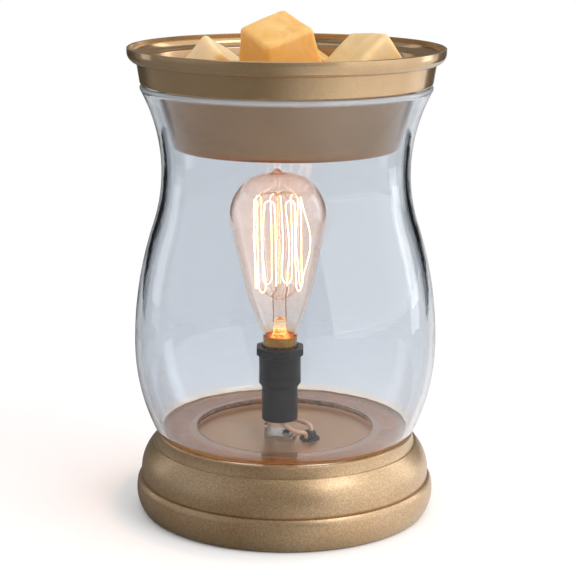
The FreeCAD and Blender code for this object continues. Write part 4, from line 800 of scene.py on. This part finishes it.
# lead glass of the mount, with a painted orange glow where the filament's light runs down into the neck
stem_glass, stem_tree, stem_shader, stem_spots = surface(
    "lit_stem_glass", [(0.3, "#fbf2e6"), (0.7, "#fff8ee")], patch=3.0, grain=0.8, rough=(0.02, 0.08),
    relief=0.01, Transmission_Weight=1.0, IOR=1.5)
painted_stem_glow = coloured(stem_tree, clouds(stem_tree, stem_spots, 0.9, 2.0),
                [(0.36, "#b5660c"), (0.52, "#eb9a22"), (0.62, "#fff0b4")])
stem_tree.links.new(painted_stem_glow, stem_shader.inputs["Emission Color"])
neck_glow = scaled(stem_tree, height_in(stem_tree, stem_spots), RIM + 1.0, RIM + 7.5, 0.9, 0.03,
                   interpolation_type="SMOOTHSTEP")
stem_tree.links.new(neck_glow, stem_shader.inputs["Emission Strength"])
stem_outline = outline([
    at(0, -3.0), at(5.6, -3.0), at(5.6, -2.0, hollow=7.0), at(2.4, 4.0, round=0.6), at(2.4, 6.5, swell=4.8),
    at(0.8, 7.5, round=0.4), at(0.8, 14.1, round=0.2), at(1.5, 14.65, swell=2.2), at(1.5, 15.75, round=0.2),
    at(0.8, 16.3, round=0.2), at(0.8, 57.7, round=0.2), at(1.5, 58.25, swell=2.2), at(1.5, 59.35, round=0.2),
    at(0.8, 59.9, round=0.2), at(0, 59.9),
], step=0.6)
stem_mesh = lathe("bulb_stem_drawn", stem_outline, segments=48, placed=IN_CAP)
finished("bulb_stem_drawn", stem_mesh, stem_glass, "bulb", ["bulb_stem"], crease=60)

# ================================================================================ filament
# One long carbonised wire runs up and down in a cage of fourteen strands, hooked over fine
# It glows white, warmer in patches.
STRANDS = 14
CAGE, STRAND_FOOT, STRAND_TOP = 9.6, 22.6, 54.8
FIRST_STRAND = -84              # degrees
LOOSE, LOOSE_BOW = 3, 3.4       # the strand that stands out, and how far
rng = np.random.default_rng(7)


def cage_spot(step, height, reach=CAGE):
    """A place on the cage, by strand and height."""
    angle = math.radians(FIRST_STRAND + 360 * (step + 0.5) / STRANDS)
    return Vector((reach * math.cos(angle), reach * math.sin(angle), height))


def filament_line():
    """Strands that sag and bow a little, joined by round loops over and under the supports."""
    line = []
    for step in range(STRANDS):
        rising = step % 2 == 0
        bow = LOOSE_BOW if step == LOOSE else rng.uniform(-0.6, 0.8)
        drift = 0 if step == LOOSE else rng.uniform(-0.3, 0.3)
        strand = []
        for share in np.linspace(0, 1, 19):
            height = STRAND_FOOT + (STRAND_TOP - STRAND_FOOT) * share
            belly = math.sin(math.pi * share) ** 1.3
            strand.append(cage_spot(step + drift * belly, height, CAGE + bow * belly))
        line += strand if rising else strand[::-1]
        if step < STRANDS - 1:
            level = STRAND_TOP if rising else STRAND_FOOT
            here, there = cage_spot(step, level), cage_spot(step + 1, level)
            middle, half = (here + there) / 2, (there - here) / 2
            rise = Vector((0, 0, half.length * (1.0 if rising else -1.5)))
            for share in np.linspace(0, math.pi, 11)[1:-1]:
                line.append(middle - half * math.cos(share) + rise * math.sin(share))
    return [IN_CAP @ point for point in line]


# white-hot filament
hot, hot_tree, hot_shader, hot_spots = surface(
    "glowing_filament", [(0.3, "#ffd79a"), (0.7, "#fff1d0")], patch=6.0, grain=1.0, relief=0,
    Emission_Strength=8.0)
heat = coloured(hot_tree, clouds(hot_tree, hot_spots, 0.12, 2.0), [(0.3, "#ffc27a"), (0.7, "#ffe6b8")])
hot_tree.links.new(heat, hot_shader.inputs["Emission Color"])
wires("bulb_filament_lit", [filament_line()], 0.17, hot, "bulb", "glowing_filament", ["bulb_filament"],
      sides=8)


def support_lines():
    """A hooked wire from a hub to each loop."""
    spacing = (cage_spot(1, 0) - cage_spot(0, 0)).length / 2
    runs = []
    for step in range(STRANDS - 1):
        above = step % 2 == 0
        level, hub = (STRAND_TOP, 58.8) if above else (STRAND_FOOT, 15.2)
        loop = (cage_spot(step, level) + cage_spot(step + 1, level)) / 2
        loop.z += (spacing - 0.45) * (1 if above else -1)
        outward = Vector((loop.x, loop.y, 0)).normalized()
        start = outward * 1.3 + Vector((0, 0, hub))
        arch = start.lerp(loop, 0.55) + Vector((0, 0, 1.2 if above else -1.0))
        hook = loop + outward * 0.7 + Vector((0, 0, 0.5 if above else -0.5))
        runs.append([IN_CAP @ point for point in eased([start, arch, loop, hook], steps=5)])
    return runs


# molybdenum support wire, its colour painted warm for the filament's light
molybdenum = surface("molybdenum_wire", [(0.3, "#a58f78"), (0.7, "#c4ab8d")], patch=2.0, grain=0.2,
                     rough=(0.25, 0.4), relief=0, Metallic=1.0)[0]
wires("bulb_supports_hooked", support_lines(), 0.14, molybdenum, "bulb", "support_wire",
      ["bulb_supports"], sides=8)


def inner_lead_lines():
    """The wires from the press to the filament's two ends."""
    runs = []
    for toward, step in ((1, 0), (-1, STRANDS - 1)):
        x = toward * 2.6
        end = cage_spot(step, STRAND_FOOT)
        route = [Vector((x, 0, 5.6)), Vector((x, 0, 11.5)), Vector((x, end.y / 2, end.z - 4)),
                 Vector((end.x, end.y, end.z - 2)), end]
        runs.append([IN_CAP @ point for point in eased(route)])
    return runs


wires("bulb_inner_leads_bent", inner_lead_lines(), 0.25, molybdenum, "bulb", "inner_lead_wire",
      ["bulb_inner_leads"], sides=10)

# ==================================================================================== stage
# A pale floor and soft studio light: a wide softbox on the right with a small bright one above
# it, weak ones on the left and overhead, and a narrow strip behind the lamp at either side.
# Mirror rays see a darker floor and world than the camera does. The front stays dark.
TABLE = 2.0                     # metres from its middle to its edge
FADE = (110.0, 420.0)           # where the table passes into the backdrop, from the axis
floor_mesh = bpy.data.meshes.new("floor")
floor_mesh.from_pydata([(-TABLE, -TABLE, 0), (TABLE, -TABLE, 0), (TABLE, TABLE, 0), (-TABLE, TABLE, 0)],
                       [], [(0, 1, 2, 3)])
floor = in_scene("floor", floor_mesh)
# matt pale table top, which fades into the white backdrop away from the lamp
pale, pale_tree, pale_shader, pale_spots = surface(
    "pale_table", [(0.3, "#f8f8f8"), (0.7, "#fcfcfc")], patch=400.0, grain=2.0, rough=(0.6, 0.7), relief=0)
apart = add(pale_tree, "ShaderNodeVectorMath", {0: pale_spots}, operation="LENGTH").outputs["Value"]
fade = scaled(pale_tree, apart, *FADE, interpolation_type="SMOOTHSTEP")
ray = add(pale_tree, "ShaderNodeLightPath").outputs
# for mirror rays it is dimmer, most towards the left
mirrored = combined(pale_tree, "SUBTRACT", ray["Is Glossy Ray"], ray["Is Transmission Ray"], use_clamp=True)
sideways = add(pale_tree, "ShaderNodeSeparateXYZ", {0: pale_spots}).outputs["X"]
lit = scaled(pale_tree, combined(pale_tree, "DIVIDE", sideways, apart), -0.35, 0.9, 0.12, 0.85,
             interpolation_type="SMOOTHSTEP")
dimmed = blended(pale_tree, mirrored, srgb("#ffffff"), lit)
retinted(pale_tree, pale_shader, 1.0, dimmed, blend_type="MULTIPLY")
looked_at = combined(pale_tree, "MAXIMUM", ray["Is Camera Ray"], ray["Is Transmission Ray"])
gone = combined(pale_tree, "MULTIPLY", fade, looked_at)
backdrop = add(pale_tree, "ShaderNodeBsdfTransparent")
faded = add(pale_tree, "ShaderNodeMixShader", {0: gone, 1: pale_shader.outputs[0], 2: backdrop.outputs[0]})
pale_tree.links.new(faded.outputs[0], pale_tree.nodes["Material Output"].inputs["Surface"])
floor_mesh.materials.append(pale)


def softbox(name, place, aim, width, height, power, colour="#ffffff"):
    """A rectangular lamp aimed at a point, out of the camera's sight."""
    lamp = bpy.data.lights.new(name, "AREA")
    lamp.shape = "RECTANGLE"
    lamp.size, lamp.size_y = width, height
    lamp.energy = power
    lamp.color = srgb(colour)[:3]
    holder = in_scene(name, lamp)
    holder.location = place
    holder.rotation_euler = (Vector(aim) - Vector(place)).to_track_quat("-Z", "Y").to_euler()
    holder.visible_camera = False


softbox("right_softbox", (1.5, -0.4, 0.75), (0, 0, 0.1), 3.0, 1.8, 21.0)
softbox("left_softbox", (-1.5, -0.5, 0.75), (0, 0, 0.1), 2.2, 1.7, 2.6, "#f2f5ff")
softbox("key_softbox", (0.95, -0.75, 1.35), (0, 0, 0.05), 0.8, 0.8, 6.5)
softbox("left_strip", (-0.85, 0.42, 0.3), (0, 0, 0.1), 0.22, 0.8, 0.45)
softbox("right_strip", (0.85, 0.42, 0.3), (0, 0, 0.1), 0.22, 0.8, 1.1)
softbox("top_softbox", (0.2, 0.1, 2.2), (0, 0, 0.1), 2.0, 2.0, 8.0)

# the warm light of the bulb itself, on the floor below it and the bowl above it
glow = bpy.data.lights.new("filament_glow", "POINT")
glow.energy = 0.28
glow.color = srgb("#ff9f4e")[:3]
glow.shadow_soft_size = 0.009
GLOW_UP = 38.0              # over the cap's rim
glow_holder = in_scene("filament_glow", glow)
glow_holder.location = (IN_CAP @ Vector((0, 0, GLOW_UP))) * MM
glow_holder.visible_camera = glow_holder.visible_glossy = glow_holder.visible_transmission = False

# black cards behind the lamp at either side, which draw dark edges on glass and metal
card = surface("black_card", [(0.3, "#0c0c0c"), (0.7, "#121212")], patch=80.0, grain=4.0, rough=(0.8, 0.9),
               relief=0)[0]
CARD_OUT, NEAR, FAR, CARD_TOP = 0.36, 0.3, 1.0, 0.28       # metres
for hand, name in ((-1, "left_card"), (1, "right_card")):
    card_mesh = bpy.data.meshes.new(name)
    card_mesh.from_pydata([(0, NEAR, 0), (0, FAR, 0), (0, FAR, CARD_TOP), (0, NEAR, CARD_TOP)], [],
                          [(0, 1, 2, 3)])
    card_mesh.transform(Matrix.Translation((hand * CARD_OUT, 0, 0.0)))
    card_mesh.materials.append(card)
    holder = in_scene(name, card_mesh)
    holder.visible_camera = holder.visible_diffuse = holder.visible_shadow = False

world = bpy.data.worlds.new("studio")
bpy.context.scene.world = world
world.use_nodes = True
sky = world.node_tree
paths = add(sky, "ShaderNodeLightPath").outputs
seen = combined(sky, "MAXIMUM", paths["Is Camera Ray"], paths["Is Transmission Ray"])
around = scaled(sky, paths["Is Glossy Ray"], start=0.8, end=0.17)
sky.links.new(scaled(sky, seen, start=around, end=1.0), sky.nodes["Background"].inputs["Strength"])
sky.nodes["Background"].inputs["Color"].default_value = (1.0, 1.0, 1.0, 1.0)

scene = bpy.context.scene
scene.view_settings.view_transform = "Standard"

PICTURE = 576                                   # pixels
CAMERA_PLACE, TILT, ROLL = (0, -0.706, 0.2545), 12.96, 0.0052      # metres, degrees down, radians
camera_data = bpy.data.cameras.new("camera")
camera_data.sensor_width = 36.0
camera_data.lens = 110.75
camera_data.shift_x = 2.5 / PICTURE
camera = in_scene("camera", camera_data)
camera.matrix_world = (Matrix.Translation(CAMERA_PLACE)
                       @ Matrix.Rotation(math.radians(90 - TILT), 4, "X") @ Matrix.Rotation(ROLL, 4, "Z"))
scene.camera = camera
